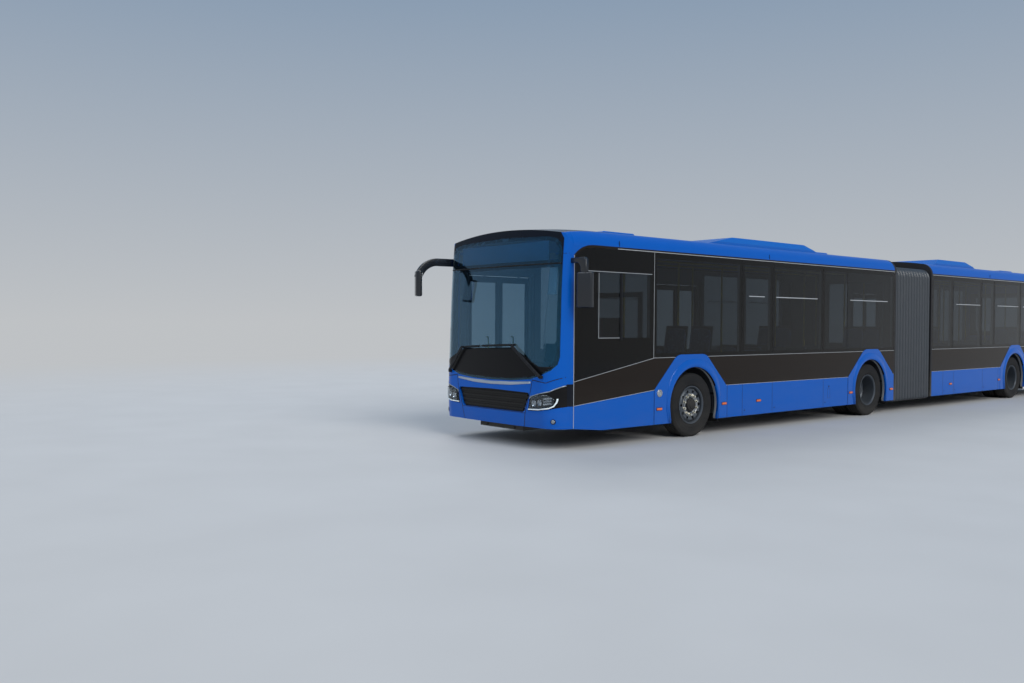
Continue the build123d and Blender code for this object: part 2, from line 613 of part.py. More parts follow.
for name, s in DOORS.items():
    for tag, jamb, k in (("front", s, 1), ("rear", s + DOOR_W, -1)):
        leaf, post = leaf_and_post(jamb, k)
        write(leaf, f"{name}_leaf_{tag}")
        write(post, f"{name}_post_{tag}")

# -------------------------------------------------------------------- interior
# Seats: station, side (1 left), places, facing (1 forward).
SEATS = {
    "front": [(2450, 1, 1, 1), (3060, 1, 1, 1), (2700, -1, 1, 1), (3780, 1, 2, -1),
              (4900, 1, 2, 1), (5600, 1, 2, 1), (6300, 1, 2, 1), (6960, 1, 2, 1),
              (3700, -1, 2, 1), (4250, -1, 2, 1), (6400, -1, 2, 1), (6960, -1, 2, 1),
              (7650, 1, 1, 1), (8250, 1, 1, 1), (7650, -1, 1, 1), (8250, -1, 1, 1)],
    "rear": [(10870, 1, 2, -1), (12050, 1, 2, 1), (12750, 1, 2, 1), (13450, 1, 2, 1),
             (10870, -1, 2, -1), (13450, -1, 2, 1), (14250, 1, 1, 1), (14900, 1, 1, 1),
             (14250, -1, 1, 1), (14900, -1, 1, 1), (15600, 1, 2, 1), (15600, -1, 2, 1),
             (16250, 1, 2, 1), (16250, -1, 2, 1), (16900, -1, 2, 1)],
}


def seat(s, k, places, facing, z, foot):
    """Cushion, back and leg of one bench against the side wall."""
    y0, y1 = (W - WALL - 15 - 430 * places, W - WALL - 15) if places == 2 else (740, 1170)
    back_s = s + facing * 210
    c = box(s - 220, s + 220, y0, y1, z + 400, z + 450)
    b = prism_y([(back_s, z + 440), (back_s + facing * 45, z + 440),
                 (back_s + facing * 110, z + 960), (back_s + facing * 70, z + 960)], y0, y1)
    leg = box(s - 60, s + 60, (y0 + y1) / 2 - 30, (y0 + y1) / 2 + 30, foot, z + 405)
    whole = merged([c, b, leg])
    return whole if k > 0 else flip(whole)


for section, rows in SEATS.items():
    benches = []
    for s, k, places, facing in rows:
        over = any(SECTION_OF[n] == section and abs(s - AXLES[n]) < BOX_HALF for n in AXLES)
        benches.append(seat(s, k, places, facing, *((BOX_Z - 380, BOX_Z) if over
                                                    else (FLOOR_Z, FLOOR_Z))))
    write(group(*benches), f"seats_{section}")

# Driver's place: dashboard across the front, raised floor, console, seat,
# steering wheel and the partition behind; plus the box behind the display.
CAB_Y0, CAB_FLOOR = 130.0, 600.0
STEER_AT, STEER_FOOT, STEER_RING = (800, 640, 1330), (600, 640, 992), 225.0
dash = nose(WALL + 8, 785) & box(-200, SEAM, -1300, 1300, 700, 900)
console = prism_y([(SEAM - 5, 620), (620, 620), (640, 1040), (520, 1150), (SEAM - 5, 960)],
                  CAB_Y0, W - WALL)
platform = box(430, 1640, CAB_Y0, W - WALL, FLOOR_Z, CAB_FLOOR)
partition = (box(1640, 1670, CAB_Y0, W - WALL, FLOOR_Z, 2150)
             - box(1630, 1680, CAB_Y0 + 70, W - WALL - 70, 1350, 2080))
gate = box(760, 1645, CAB_Y0, CAB_Y0 + 25, CAB_FLOOR - 5, 1400)
stool = [box(1030, 1470, 410, 870, 1000, 1080), box(1180, 1380, 560, 720, CAB_FLOOR, 1005),
         prism_y([(1430, 1060), (1520, 1060), (1590, 1780), (1520, 1780)], 420, 860)]
tilt = Plane(origin=(X(STEER_AT[0]), STEER_AT[1], STEER_AT[2]),
             z_dir=(STEER_FOOT[0] - STEER_AT[0], 0, STEER_AT[2] - STEER_FOOT[2]))
ring = Solid.revolve(polygon([(STEER_RING - 15, 0, 0), (STEER_RING, 0, -15), (STEER_RING + 15, 0, 0),
                              (STEER_RING, 0, 15)]), 360, Axis.Z)
spokes = [Box(2 * STEER_RING - 10, 34, 12), Box(34, 2 * STEER_RING - 10, 12)]
wheel_top = [item.moved(Location(tilt)) for item in [ring] + spokes]
column = rod(STEER_FOOT, STEER_AT, 38)
write(merged([dash, console, platform, partition, gate, column] + stool + wheel_top), "cab")

# Mirrors: moulded arms on the roof corners, with rounded heads turned to the
# driver. Both are drawn on the left: station, y, turn, low and high of the head.
HEAD_T, HEAD_W, HEAD_ROUND, ARM_THICK = 95.0, 230.0, 30.0, 56.0
HEADS = {1: (235, 1500, 20, 1900, 2372), -1: (-460, 1345, -25, 2088, 2470)}


def head(s, y, turn, z0, z1):
    block = Box(HEAD_T, HEAD_W, z1 - z0)
    block = fillet(block.edges().filter_by(Axis.Z), HEAD_ROUND)
    block = fillet(block.faces().sort_by(Axis.Z)[-1].edges() + block.faces().sort_by(Axis.Z)[0].edges(), 20)
    return Pos(X(s), y, (z0 + z1) / 2) * Rot(0, 0, turn) * block


short_arm = prism_x([(1240, 2490), (1240, 2560), (1515, 2560), (1550, 2525), (1550, 2345), (1450, 2345),
                     (1440, 2440), (1400, 2490)], 195, 195 + ARM_THICK)
P = lambda s, z: (X(s), -ARM_THICK / 2, z)
long_arm = Solid.extrude(Face(Wire([
    Edge.make_line(P(265, 2673), P(-100, 2668)),
    Edge.make_three_point_arc(P(-100, 2668), P(-400, 2560), P(-505, 2340)),
    Edge.make_line(P(-505, 2340), P(-400, 2340)),
    Edge.make_three_point_arc(P(-400, 2340), P(-310, 2478), P(-100, 2548)),
    Edge.make_line(P(-100, 2548), P(265, 2558)),
    Edge.make_line(P(265, 2558), P(265, 2673))])), (0, ARM_THICK, 0))
root = Axis((X(240), 0, 0), (0, 0, 1))
long_arm = Pos(0, 1252, 0) * long_arm.rotate(root, 7.6)
heads = []
for k, arm in ((1, short_arm), (-1, long_arm)):
    whole = merged([arm, head(*HEADS[k])])
    whole = whole - nose(0, FRONT_Z) - box(SEAM - 60, SEAM + 200, 0, W, 2000, 3000)
    heads.append(whole if k > 0 else flip(whole))
write(group(*heads), "mirrors")

# Wipers: pivot in the mask, arm and blade; (y, z) of pivot, arm end, blade ends.
WIPERS = [((1005, 985), (430, 1392), (480, 1402), (-240, 1372)),
          ((-1005, 985), (-690, 1350), (-720, 1345), (-300, 1368))]


def face_s(y, z):
    """Station of the front face at (y, z), near enough for what sits on it."""
    for (z0, n0), (z1, n1) in zip(FRONT_FACE, FRONT_FACE[1:]):
        if z <= z1:
            return n0 + (n1 - n0) * (z - z0) / (z1 - z0) + y * y / (2 * FRONT_R)


wipers = []
for pivot, end, b0, b1 in WIPERS:
    at = lambda p, off: (face_s(*p) + off, *p)
    line = [rod(at(pivot, -32), at(end, -32), 10), rod(at(b0, -20), at(b1, -20), 9),
            rod(at(end, -36), at(end, -16), 10),
            rod(at(pivot, -40), at(pivot, 40), 22) - nose(0, FRONT_Z)]
    wipers.append(merged(line))
write(group(*wipers), "wipers")

# Handrails: uprights on the floor, with a bar along the ceiling on them.
RAILS = {"front": (2250, 8700, [2250, 3550, 4700, 6100, 7250, 8700]),
         "rear": (10600, 16500, [10600, 11700, 13050, 14200, 15300, 16500])}
RAIL_R, RAIL_AT, RAIL_TOP = 17.0, 315.0, 2700.0
for section, (s0, s1, posts) in RAILS.items():
    tubes = []
    for k in (-1, 1):
        tubes.append(rod((s0 - 20, k * RAIL_AT, RAIL_TOP), (s1 + 20, k * RAIL_AT, RAIL_TOP), RAIL_R))
        tubes += [cyl_z(s, k * RAIL_AT, RAIL_R, FLOOR_Z, RAIL_TOP - RAIL_R - SEAT_GAP)
                  for s in posts]
    write(group(*tubes), f"handrails_{section}")

write(box(16780, 17560, 190, 1120, FLOOR_Z, 1250), "engine")
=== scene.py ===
import math
import bmesh
import bpy
from mathutils import Matrix, Vector
from mathutils.bvhtree import BVHTree


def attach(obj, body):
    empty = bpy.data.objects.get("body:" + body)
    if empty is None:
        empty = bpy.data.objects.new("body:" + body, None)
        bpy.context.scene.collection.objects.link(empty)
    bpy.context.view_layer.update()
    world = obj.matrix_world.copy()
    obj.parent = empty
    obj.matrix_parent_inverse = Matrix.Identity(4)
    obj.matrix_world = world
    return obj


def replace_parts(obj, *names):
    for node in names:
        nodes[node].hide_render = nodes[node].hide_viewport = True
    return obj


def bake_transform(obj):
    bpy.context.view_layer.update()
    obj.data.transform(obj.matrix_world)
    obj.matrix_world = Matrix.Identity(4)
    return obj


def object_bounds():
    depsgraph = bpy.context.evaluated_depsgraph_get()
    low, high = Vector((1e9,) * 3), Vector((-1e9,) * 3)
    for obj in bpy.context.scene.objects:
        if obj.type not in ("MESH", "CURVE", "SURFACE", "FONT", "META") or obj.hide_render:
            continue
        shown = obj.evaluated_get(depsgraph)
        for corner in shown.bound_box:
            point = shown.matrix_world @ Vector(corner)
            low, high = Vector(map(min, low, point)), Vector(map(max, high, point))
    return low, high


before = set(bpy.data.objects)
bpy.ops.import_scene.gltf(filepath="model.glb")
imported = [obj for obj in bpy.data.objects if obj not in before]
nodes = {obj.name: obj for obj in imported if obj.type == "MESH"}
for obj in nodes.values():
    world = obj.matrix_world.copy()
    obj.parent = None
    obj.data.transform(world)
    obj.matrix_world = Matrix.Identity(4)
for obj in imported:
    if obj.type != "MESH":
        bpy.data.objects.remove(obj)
cad_box = [list(corner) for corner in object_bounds()]

# ---------------------------------------------------------------- the studio
# A pale floor that runs into a pale sky under three wide suns, the strongest over
# the left side. The camera stands where the photograph's did.
PHOTO_WIDTH, FOCAL_PX, SENSOR = 1024, 905.5, 36.0
FRONT_X = 8.725                 # X of the front plane; stations count back from it
EYE = Vector((16.813, 9.885, 1.693))
YAW, PITCH, ROLL = math.radians(229.81), -0.020, 0.005
HORIZON, ZENITH, SKY_STRENGTH = (0.72, 0.745, 0.77, 1), (0.23, 0.37, 0.56, 1), 0.72
SUNS = (                        # name, where it stands, spread in degrees, power, colour
    ("key_lamp", (2.0, 17.0, 13.0), 38.0, 2.1, (1.0, 0.96, 0.90)),
    ("front_lamp", (20.0, -3.0, 16.0), 30.0, 0.8, (0.92, 0.96, 1.0)),
    ("far_lamp", (-6.0, -13.0, 17.0), 34.0, 0.8, (1.0, 0.98, 0.95)))
scene = bpy.context.scene
scene.view_settings.view_transform = "Standard"


def at(station):
    """X of a station, in metres behind the front plane."""
    return FRONT_X - station


def put(name, data):
    """A new object in the scene, unturned at the origin."""
    thing = bpy.data.objects.new(name, data)
    scene.collection.objects.link(thing)
    return thing


def fed(tree, node, inputs):
    """Joins sockets to a node's inputs, or writes numbers and colours in them."""
    for key, value in inputs.items():
        if isinstance(value, bpy.types.NodeSocket):
            tree.links.new(value, node.inputs[key])
        else:
            node.inputs[key].default_value = value
    return node


def added(tree, kind, inputs, **settings):
    """A new shader node with its settings and inputs."""
    node = tree.nodes.new(f"ShaderNode{kind}")
    for key, value in settings.items():
        setattr(node, key, value)
    return fed(tree, node, inputs)


def ramped(tree, value, *stops):
    """Colour along a value, from two (place, colour) stops."""
    ramp = added(tree, "ValToRGB", {"Fac": value})
    for element, (where, colour) in zip(ramp.color_ramp.elements, stops):
        element.position, element.color = where, colour
    return ramp.outputs["Color"]


def place_of(tree):
    """The object's own place."""
    return added(tree, "TexCoord", {}).outputs["Object"]


def blank(name):
    """A new material with its node tree and its shader."""
    made = bpy.data.materials.new(name)
    made.use_nodes = True
    return made, made.node_tree, made.node_tree.nodes["Principled BSDF"]


ahead = Vector((math.cos(YAW) * math.cos(PITCH), math.sin(YAW) * math.cos(PITCH), math.sin(PITCH)))
level = ahead.cross(Vector((0, 0, 1))).normalized()
upright = level.cross(ahead)
right = level * math.cos(ROLL) + upright * math.sin(ROLL)
up = upright * math.cos(ROLL) - level * math.sin(ROLL)
lens = bpy.data.cameras.new("camera")
lens.sensor_width, lens.lens = SENSOR, SENSOR * FOCAL_PX / PHOTO_WIDTH
lens.clip_start, lens.clip_end = 0.1, 500.0
scene.camera = put("camera", lens)
scene.camera.matrix_world = Matrix((
    (right.x, up.x, -ahead.x, EYE.x), (right.y, up.y, -ahead.y, EYE.y),
    (right.z, up.z, -ahead.z, EYE.z), (0, 0, 0, 1)))

scene.world = bpy.data.worlds.new("studio_sky")
scene.world.use_nodes = True
tree = scene.world.node_tree
direction = added(tree, "TexCoord", {}).outputs["Generated"]
height = added(tree, "SeparateXYZ", {0: direction}).outputs["Z"]
fed(tree, tree.nodes["Background"], {
    "Color": ramped(tree, height, (0.0, HORIZON), (0.45, ZENITH)), "Strength": SKY_STRENGTH})
for name, place, spread, power, colour in SUNS:
    sun = bpy.data.lights.new(name, "SUN")
    sun.angle, sun.energy, sun.color = math.radians(spread), power, colour
    stand = put(name, sun)
    stand.location = place
    stand.rotation_euler = (Vector((0, 0, 1)) - Vector(place)).to_track_quat("-Z", "Y").to_euler()

bm = bmesh.new()
bmesh.ops.create_circle(bm, cap_ends=True, radius=140.0, segments=64)
mesh = bpy.data.meshes.new("floor")
bm.to_mesh(mesh)
bm.free()
put("floor", mesh)
floor_coat, tree, shader = blank("studio_floor")
place = place_of(tree)
noise = added(tree, "TexNoise", {"Vector": place, "Scale": 0.8}).outputs["Fac"]
tone = ramped(tree, noise, (0.0, (0.50, 0.50, 0.50, 1)), (1.0, (0.56, 0.56, 0.56, 1)))
fed(tree, shader, {"Base Color": tone, "Roughness": 0.75})
# Far off, the floor takes the sky's tone.
far_off = added(tree, "VectorMath", {0: place}, operation="LENGTH").outputs["Value"]
fade = added(tree, "MapRange", {"Value": far_off, "From Min": 10.0, "From Max": 32.0},
             interpolation_type="SMOOTHSTEP").outputs["Result"]
glow = added(tree, "Emission", {"Color": HORIZON, "Strength": SKY_STRENGTH}).outputs["Emission"]
both = added(tree, "MixShader", {"Fac": fade, 1: shader.outputs["BSDF"], 2: glow})
fed(tree, tree.nodes["Material Output"], {"Surface": both.outputs["Shader"]})
mesh.materials.append(floor_coat)

# ------------------------------------------------------ frames and axle beams
# Two welded ladder frames with hung boxes, in black wax-sprayed paint, and cast
# axle beams bolted to them. Road dust dries on everything that faces the wheels.


def shader_group(name, inputs, outputs):
    """An empty group with named sockets: (name, kind, value), kind f or c."""
    kinds = {"f": "NodeSocketFloat", "c": "NodeSocketColor"}
    group = bpy.data.node_groups.new(name, "ShaderNodeTree")
    for label, kind, value in inputs:
        socket = group.interface.new_socket(name=label, in_out="INPUT", socket_type=kinds[kind])
        socket.default_value = value
    for label, kind in outputs:
        group.interface.new_socket(name=label, in_out="OUTPUT", socket_type=kinds[kind])
    return group, group.nodes.new("NodeGroupInput").outputs, group.nodes.new("NodeGroupOutput")


def calc(tree, operation, *values):
    """The result of a Math node."""
    return added(tree, "Math", dict(enumerate(values)), operation=operation).outputs[0]


def product(tree, share, *others):
    """Several shares multiplied together."""
    for other in others:
        share = calc(tree, "MULTIPLY", share, other)
    return share


def below(tree, value, limit):
    """One where a value is less than a limit, and nought elsewhere."""
    return calc(tree, "LESS_THAN", value, limit)


def above(tree, value, limit):
    """One where a value is more than a limit, and nought elsewhere."""
    return calc(tree, "GREATER_THAN", value, limit)


def blended(tree, share, first, second):
    """Colour between two, by a share from 0 to 1."""
    return added(tree, "Mix", {"Factor": share, "A": first, "B": second},
                 data_type="RGBA").outputs["Result"]


def split_place(tree):
    """X, Y and Z of the object's own place."""
    return added(tree, "SeparateXYZ", {0: place_of(tree)}).outputs


def grain_of(tree, scale, detail=4.0, stretch=(1, 1, 1)):
    """Noise on the object's own place, stretched along its axes."""
    spread = added(tree, "Mapping", {"Vector": place_of(tree), "Scale": stretch}).outputs["Vector"]
    noise = added(tree, "TexNoise", {"Vector": spread, "Scale": scale, "Detail": detail})
    return noise.outputs["Fac"]


def bumped(tree, shader, height, strength, distance):
    """Lifts a finish's surface by a height."""
    bump = added(tree, "Bump", {"Height": height, "Strength": strength, "Distance": distance})
    fed(tree, shader, {"Normal": bump.outputs["Normal"]})


# Road film: dust that thins out upwards and gathers in soft patches.
DUST = (0.20, 0.18, 0.15, 1)
film, film_in, film_out = shader_group(
    "road_film", [("Paint", "c", (0.5, 0.5, 0.5, 1)), ("Dust", "c", DUST), ("Amount", "f", 0.3),
                  ("Reach", "f", 1.0), ("Gloss", "f", 0.3)], [("Color", "c"), ("Roughness", "f")])
low = added(film, "MapRange", {"Value": split_place(film)["Z"], "From Min": 0.15,
                               "From Max": film_in["Reach"], "To Min": 1.0, "To Max": 0.06})
patches = calc(film, "MULTIPLY_ADD", grain_of(film, 2.3, 8.0, (1, 1, 2.5)), 1.5, -0.25)
speck = calc(film, "MULTIPLY_ADD", grain_of(film, 90.0, 2.0), 0.6, 0.7)
share = product(film, low.outputs["Result"], patches, speck, film_in["Amount"])
share = calc(film, "MINIMUM", calc(film, "MAXIMUM", share, 0.0), 1.0)
fed(film, film_out, {"Color": blended(film, share, film_in["Paint"], film_in["Dust"]),
                     "Roughness": calc(film, "MULTIPLY_ADD", share, 0.45, film_in["Gloss"])})


def coat(name, colour, gloss, dust=0.3, reach=1.0, grain=0.0, grain_scale=200.0, metal=0.0,
         clear=0.0, dust_colour=DUST, shine=0.16):
    """A finish: paint or plastic colour under road film, with a fine surface grain."""
    made, tree, shader = blank(name)
    filmed = added(tree, "Group", {"Paint": (*colour, 1), "Dust": dust_colour, "Amount": dust,
                                   "Reach": reach, "Gloss": gloss}, node_tree=film).outputs
    fed(tree, shader, {"Base Color": filmed["Color"], "Roughness": filmed["Roughness"],
                       "Metallic": metal, "Specular IOR Level": shine, "Coat Weight": clear,
                       "Coat Roughness": 0.04})
    if grain:
        bumped(tree, shader, grain_of(tree, grain_scale, 3.0), grain, 0.002)
    return made


def finish_nodes(finish, *names):
    """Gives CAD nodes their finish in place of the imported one."""
    for name in names:
        nodes[name].data.materials.clear()
        nodes[name].data.materials.append(finish)


chassis = coat("chassis_wax", (0.022, 0.022, 0.024), 0.55, 0.55, 0.9, grain=0.5, grain_scale=60.0)
casting = coat("axle_casting", (0.040, 0.040, 0.042), 0.70, 0.7, 0.8, grain=0.9, grain_scale=120.0)
finish_nodes(chassis, "underframe_front", "underframe_rear", "joint_front", "joint_rear")
finish_nodes(casting, "axles_front", "axles_rear", "knuckle_left", "knuckle_right", "engine")

# ------------------------------------------------------------------- the wheels
# Radial tyres with four grooves round the tread and a ribbed wall, on pressed
# steel rims in dark grey-blue paint. Ten plated nuts hold each rim to its hub.
SECTIONS = ("front", "rear")
SIDES = {"left": 1, "right": -1}
AXLES = {"front": 2.775, "mid": 7.975, "drive": 14.605}
SECTION_OF = {"front": "front", "mid": "front", "drive": "rear"}
TYRE_RADIUS, OUTER_Y, INNER_Y, TYRE_STEPS = 0.479, 1.105, 0.795, 120
TYRE_LINE = [                   # radius, distance from the tyre's middle
    (0.287, 0.104), (0.296, 0.116), (0.318, 0.1285), (0.330, 0.1295), (0.334, 0.1325),
    (0.340, 0.1325), (0.344, 0.1305), (0.372, 0.1365), (0.402, 0.1370), (0.432, 0.1345),
    (0.438, 0.1350), (0.444, 0.1325), (0.462, 0.1225), (0.473, 0.1130), (0.4775, 0.1060),
    (0.4790, 0.0790), (0.4640, 0.0760), (0.4640, 0.0690), (0.4790, 0.0660), (0.4790, 0.0300),
    (0.4640, 0.0270), (0.4640, 0.0190), (0.4790, 0.0160)]
NUT_RING = [                    # radius, distance out from the hub's face
    (0.114, 0.0), (0.115, 0.009), (0.122, 0.013), (0.134, 0.010), (0.160, 0.010), (0.170, 0.016),
    (0.177, 0.014), (0.179, 0.002)]
HUB_FACE = {"front": 1.185, "mid": 0.968, "drive": 0.968}
NUTS, NUT_CIRCLE, CAP_BOLTS, CAP_CIRCLE, VALVE_CIRCLE = 10, 0.1475, 6, 0.077, 0.235


def shown(name, bm, finish, body=None, angle=35.0, recalc=True):
    """Puts a finished bmesh in the scene as one piece that rides on a body."""
    if recalc:
        bmesh.ops.recalc_face_normals(bm, faces=bm.faces)
    mesh = bpy.data.meshes.new(name)
    bm.to_mesh(mesh)
    bm.free()
    mesh.shade_smooth()
    mesh.set_sharp_from_angle(angle=math.radians(angle))
    mesh.materials.append(finish)
    thing = put(name, mesh)
    if body:
        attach(thing, body)
    return thing


def spun(bm, line, centre, steps, closed=True):
    """Turns a (radius, y) line about the wheel axis through the centre."""
    points = [bm.verts.new((centre[0], y, centre[2] + r)) for r, y in line]
    pairs = list(zip(points, points[1:])) + ([(points[-1], points[0])] if closed else [])
    edges = [bm.edges.new(pair) for pair in pairs]
    bmesh.ops.spin(bm, geom=points + edges, cent=centre, axis=(0, 1, 0), angle=2 * math.pi,
                   steps=steps, use_merge=True)
    bmesh.ops.remove_doubles(bm, verts=bm.verts, dist=1e-6)


def stud(bm, centre, radius, length, outward, segments=6):
    """A nut, cap or disc with its axis along Y, standing on the centre."""
    turn = Matrix.Rotation(math.radians(-90 * outward), 4, "X")
    move = Matrix.Translation(Vector(centre) + Vector((0, outward * length / 2, 0)))
    bmesh.ops.create_cone(bm, cap_ends=True, cap_tris=False, segments=segments, radius1=radius,
                          radius2=radius * 0.92, depth=length, matrix=move @ turn)


rubber = coat("tyre_rubber", (0.010, 0.011, 0.013), 0.78, 0.16, 1.3, 0.35, 260.0)
rim_paint = coat("rim_paint", (0.070, 0.085, 0.105), 0.36, 0.25, 1.3, 0.2, 90.0, metal=0.35)
plated = coat("plated_nuts", (0.78, 0.74, 0.62), 0.26, 0.05, 1.4, metal=1.0)
ring_steel = coat("ring_steel", (0.34, 0.35, 0.36), 0.32, 0.10, 1.4, metal=1.0)
hub_paint = coat("hub_paint", (0.014, 0.015, 0.017), 0.5, 0.25, 1.3, 0.3, 80.0)
for axle, station in AXLES.items():
    for side, k in SIDES.items():
        body, tag = f"wheel_{axle}_{side}", f"{axle}_{side}"
        middle, face = (at(station), 0.0, TYRE_RADIUS), HUB_FACE[axle]

        def round_hub(radius, turn, out):
            """A point on a circle round the hub, out from its face."""
            return (middle[0] + radius * math.cos(turn), k * (face + out),
                    TYRE_RADIUS + radius * math.sin(turn))

        def from_face(line):
            """A (radius, distance from the hub's face) line on this wheel."""
            return [(r, k * (face + out)) for r, out in line]

        bm = bmesh.new()
        for offset in (OUTER_Y,) if axle == "front" else (OUTER_Y, INNER_Y):
            spun(bm, [(r, k * offset + y) for r, y in TYRE_LINE] +
                 [(r, k * offset - y) for r, y in reversed(TYRE_LINE)], middle, TYRE_STEPS)
        tyre = shown(f"tyre_{tag}_tread", bm, rubber, body, angle=28.0)
        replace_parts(tyre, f"tyre_{tag}")
        finish_nodes(rim_paint, f"rim_{tag}")
        bm = bmesh.new()
        spun(bm, from_face(NUT_RING), middle, 80, closed=False)
        shown(f"nut_ring_{tag}", bm, ring_steel, body)
        bm = bmesh.new()
        for i in range(NUTS):   # each nut on its washer
            turn = 2 * math.pi * (i + 0.5) / NUTS
            stud(bm, round_hub(NUT_CIRCLE, turn, 0.008), 0.0225, 0.012, k, 24)
            stud(bm, round_hub(NUT_CIRCLE, turn, 0.020), 0.0185, 0.022, k)
        shown(f"nuts_{tag}", bm, plated, body)
        bm = bmesh.new()
        deep = 0.045 if axle == "front" else 0.075
        spun(bm, from_face([(0.100, 0.004), (0.098, deep * 0.8), (0.090, deep),
                            (0.060, deep + 0.004), (0.052, deep + 0.012), (0.0, deep + 0.012)]),
             middle, 64, closed=False)
        for i in range(CAP_BOLTS):
            turn = 2 * math.pi * i / CAP_BOLTS
            stud(bm, round_hub(CAP_CIRCLE, turn, deep + 0.002), 0.007, 0.007, k)
        shown(f"hub_cap_{tag}", bm, hub_paint, body)
        bm = bmesh.new()        # inflation valve beside a hand hole
        stud(bm, round_hub(VALVE_CIRCLE, math.radians(108), -0.035), 0.0045, 0.055, k, 12)
        shown(f"valve_{tag}", bm, plated, body)

# ------------------------------------------------------------ floors and engine
# Sealed plywood floors under speckled rubber sheet, turned up round the wheel
# boxes and the engine tower at the back.
floor_rubber = coat("floor_rubber", (0.10, 0.105, 0.115), 0.6, 0.15, 0.6, 0.35, 400.0)
finish_nodes(floor_rubber, "floor_front", "floor_rear")

# ------------------------------------------------------------------- the seats
# Moulded shells in dark grey plastic with thin upholstered pads. Each bench
# stands on one leg by the side wall, and higher where a wheel box is below it.
SEAT_ROWS = {                   # station, side, places, facing
    "front": [(2.45, 1, 1, 1), (3.06, 1, 1, 1), (2.70, -1, 1, 1), (3.78, 1, 2, -1),
              (4.90, 1, 2, 1), (5.60, 1, 2, 1), (6.30, 1, 2, 1), (6.96, 1, 2, 1),
              (3.70, -1, 2, 1), (4.25, -1, 2, 1), (6.40, -1, 2, 1), (6.96, -1, 2, 1),
              (7.65, 1, 1, 1), (8.25, 1, 1, 1), (7.65, -1, 1, 1), (8.25, -1, 1, 1)],
    "rear": [(10.87, 1, 2, -1), (12.05, 1, 2, 1), (12.75, 1, 2, 1), (13.45, 1, 2, 1),
             (10.87, -1, 2, -1), (13.45, -1, 2, 1), (14.25, 1, 1, 1), (14.90, 1, 1, 1),
             (14.25, -1, 1, 1), (14.90, -1, 1, 1), (15.60, 1, 2, 1), (15.60, -1, 2, 1),
             (16.25, 1, 2, 1), (16.25, -1, 2, 1), (16.90, -1, 2, 1)]}
BOX_REACH, PLACE_WIDE, SEAT_HALF = 0.64, 0.43, 0.215


def slab(bm, s0, s1, y0, y1, z0, z1):
    """A block between two stations, widths and heights; gives its corners."""
    size = Matrix.Diagonal((abs(s1 - s0), abs(y1 - y0), abs(z1 - z0), 1))
    middle = Matrix.Translation(((at(s0) + at(s1)) / 2, (y0 + y1) / 2, (z0 + z1) / 2))
    return bmesh.ops.create_cube(bm, size=1.0, matrix=middle @ size)["verts"]


def soften(bm, width, segments=2, edges=None):
    """Rounds the given edges, or all of them."""
    bmesh.ops.bevel(bm, geom=list(bm.edges) if edges is None else edges, offset=width,
                    offset_type="OFFSET", segments=segments, profile=0.5, affect="EDGES",
                    material=-1, clamp_overlap=True)


def edges_of(corners):
    """The edges that join the given corners."""
    chosen = set(corners)
    return list({e for v in chosen for e in v.link_edges if e.other_vert(v) in chosen})


def block(bm, width, segments, *sides):
    """A slab with rounded edges."""
    soften(bm, width, segments, edges_of(slab(bm, *sides)))


def leaned(bm, corners, station, facing, z):
    """Tips a seat's upright back 8 degrees away from its pan."""
    bmesh.ops.rotate(bm, cent=(at(station), 0, z), verts=corners,
                     matrix=Matrix.Rotation(math.radians(-8 * facing), 3, "Y"))


def cushion(bm, *sides):
    """A crowned pad that fills a block, thin at its piped edge; gives its corners."""
    already = len(bm.verts)
    bmesh.ops.subdivide_edges(bm, edges=edges_of(slab(bm, *sides)), cuts=4, use_grid_fill=True)
    whole = bm.verts[:][already:]
    for _ in range(3):
        bmesh.ops.smooth_vert(bm, verts=whole, factor=0.5, use_axis_x=True, use_axis_y=True,
                              use_axis_z=True)
    return whole


seat_plastic = coat("seat_shell", (0.045, 0.047, 0.052), 0.42, 0.0, grain=0.3, grain_scale=500.0)
cloth, cloth_in, cloth_out = shader_group(
    "seat_weave", [("Ground", "c", (0.03, 0.07, 0.2, 1)), ("Fleck", "c", (0.15, 0.3, 0.5, 1)),
                   ("Scale", "f", 160.0)], [("Color", "c"), ("Height", "f")])
place = place_of(cloth)
threads = [added(cloth, "TexWave", {"Vector": place, "Scale": cloth_in["Scale"]},
                 bands_direction=axis).outputs["Fac"] for axis in ("X", "Y")]
flecks = above(cloth, grain_of(cloth, 55.0, 1.0), 0.60)
fed(cloth, cloth_out, {"Height": calc(cloth, "MAXIMUM", *threads),
                       "Color": blended(cloth, flecks, cloth_in["Ground"], cloth_in["Fleck"])})
seat_cloth, tree, shader = blank("seat_cloth")
weave = added(tree, "Group", {}, node_tree=cloth).outputs
fed(tree, shader, {"Base Color": weave["Color"], "Roughness": 0.9, "Sheen Weight": 0.3})
bumped(tree, shader, weave["Height"], 0.4, 0.001)

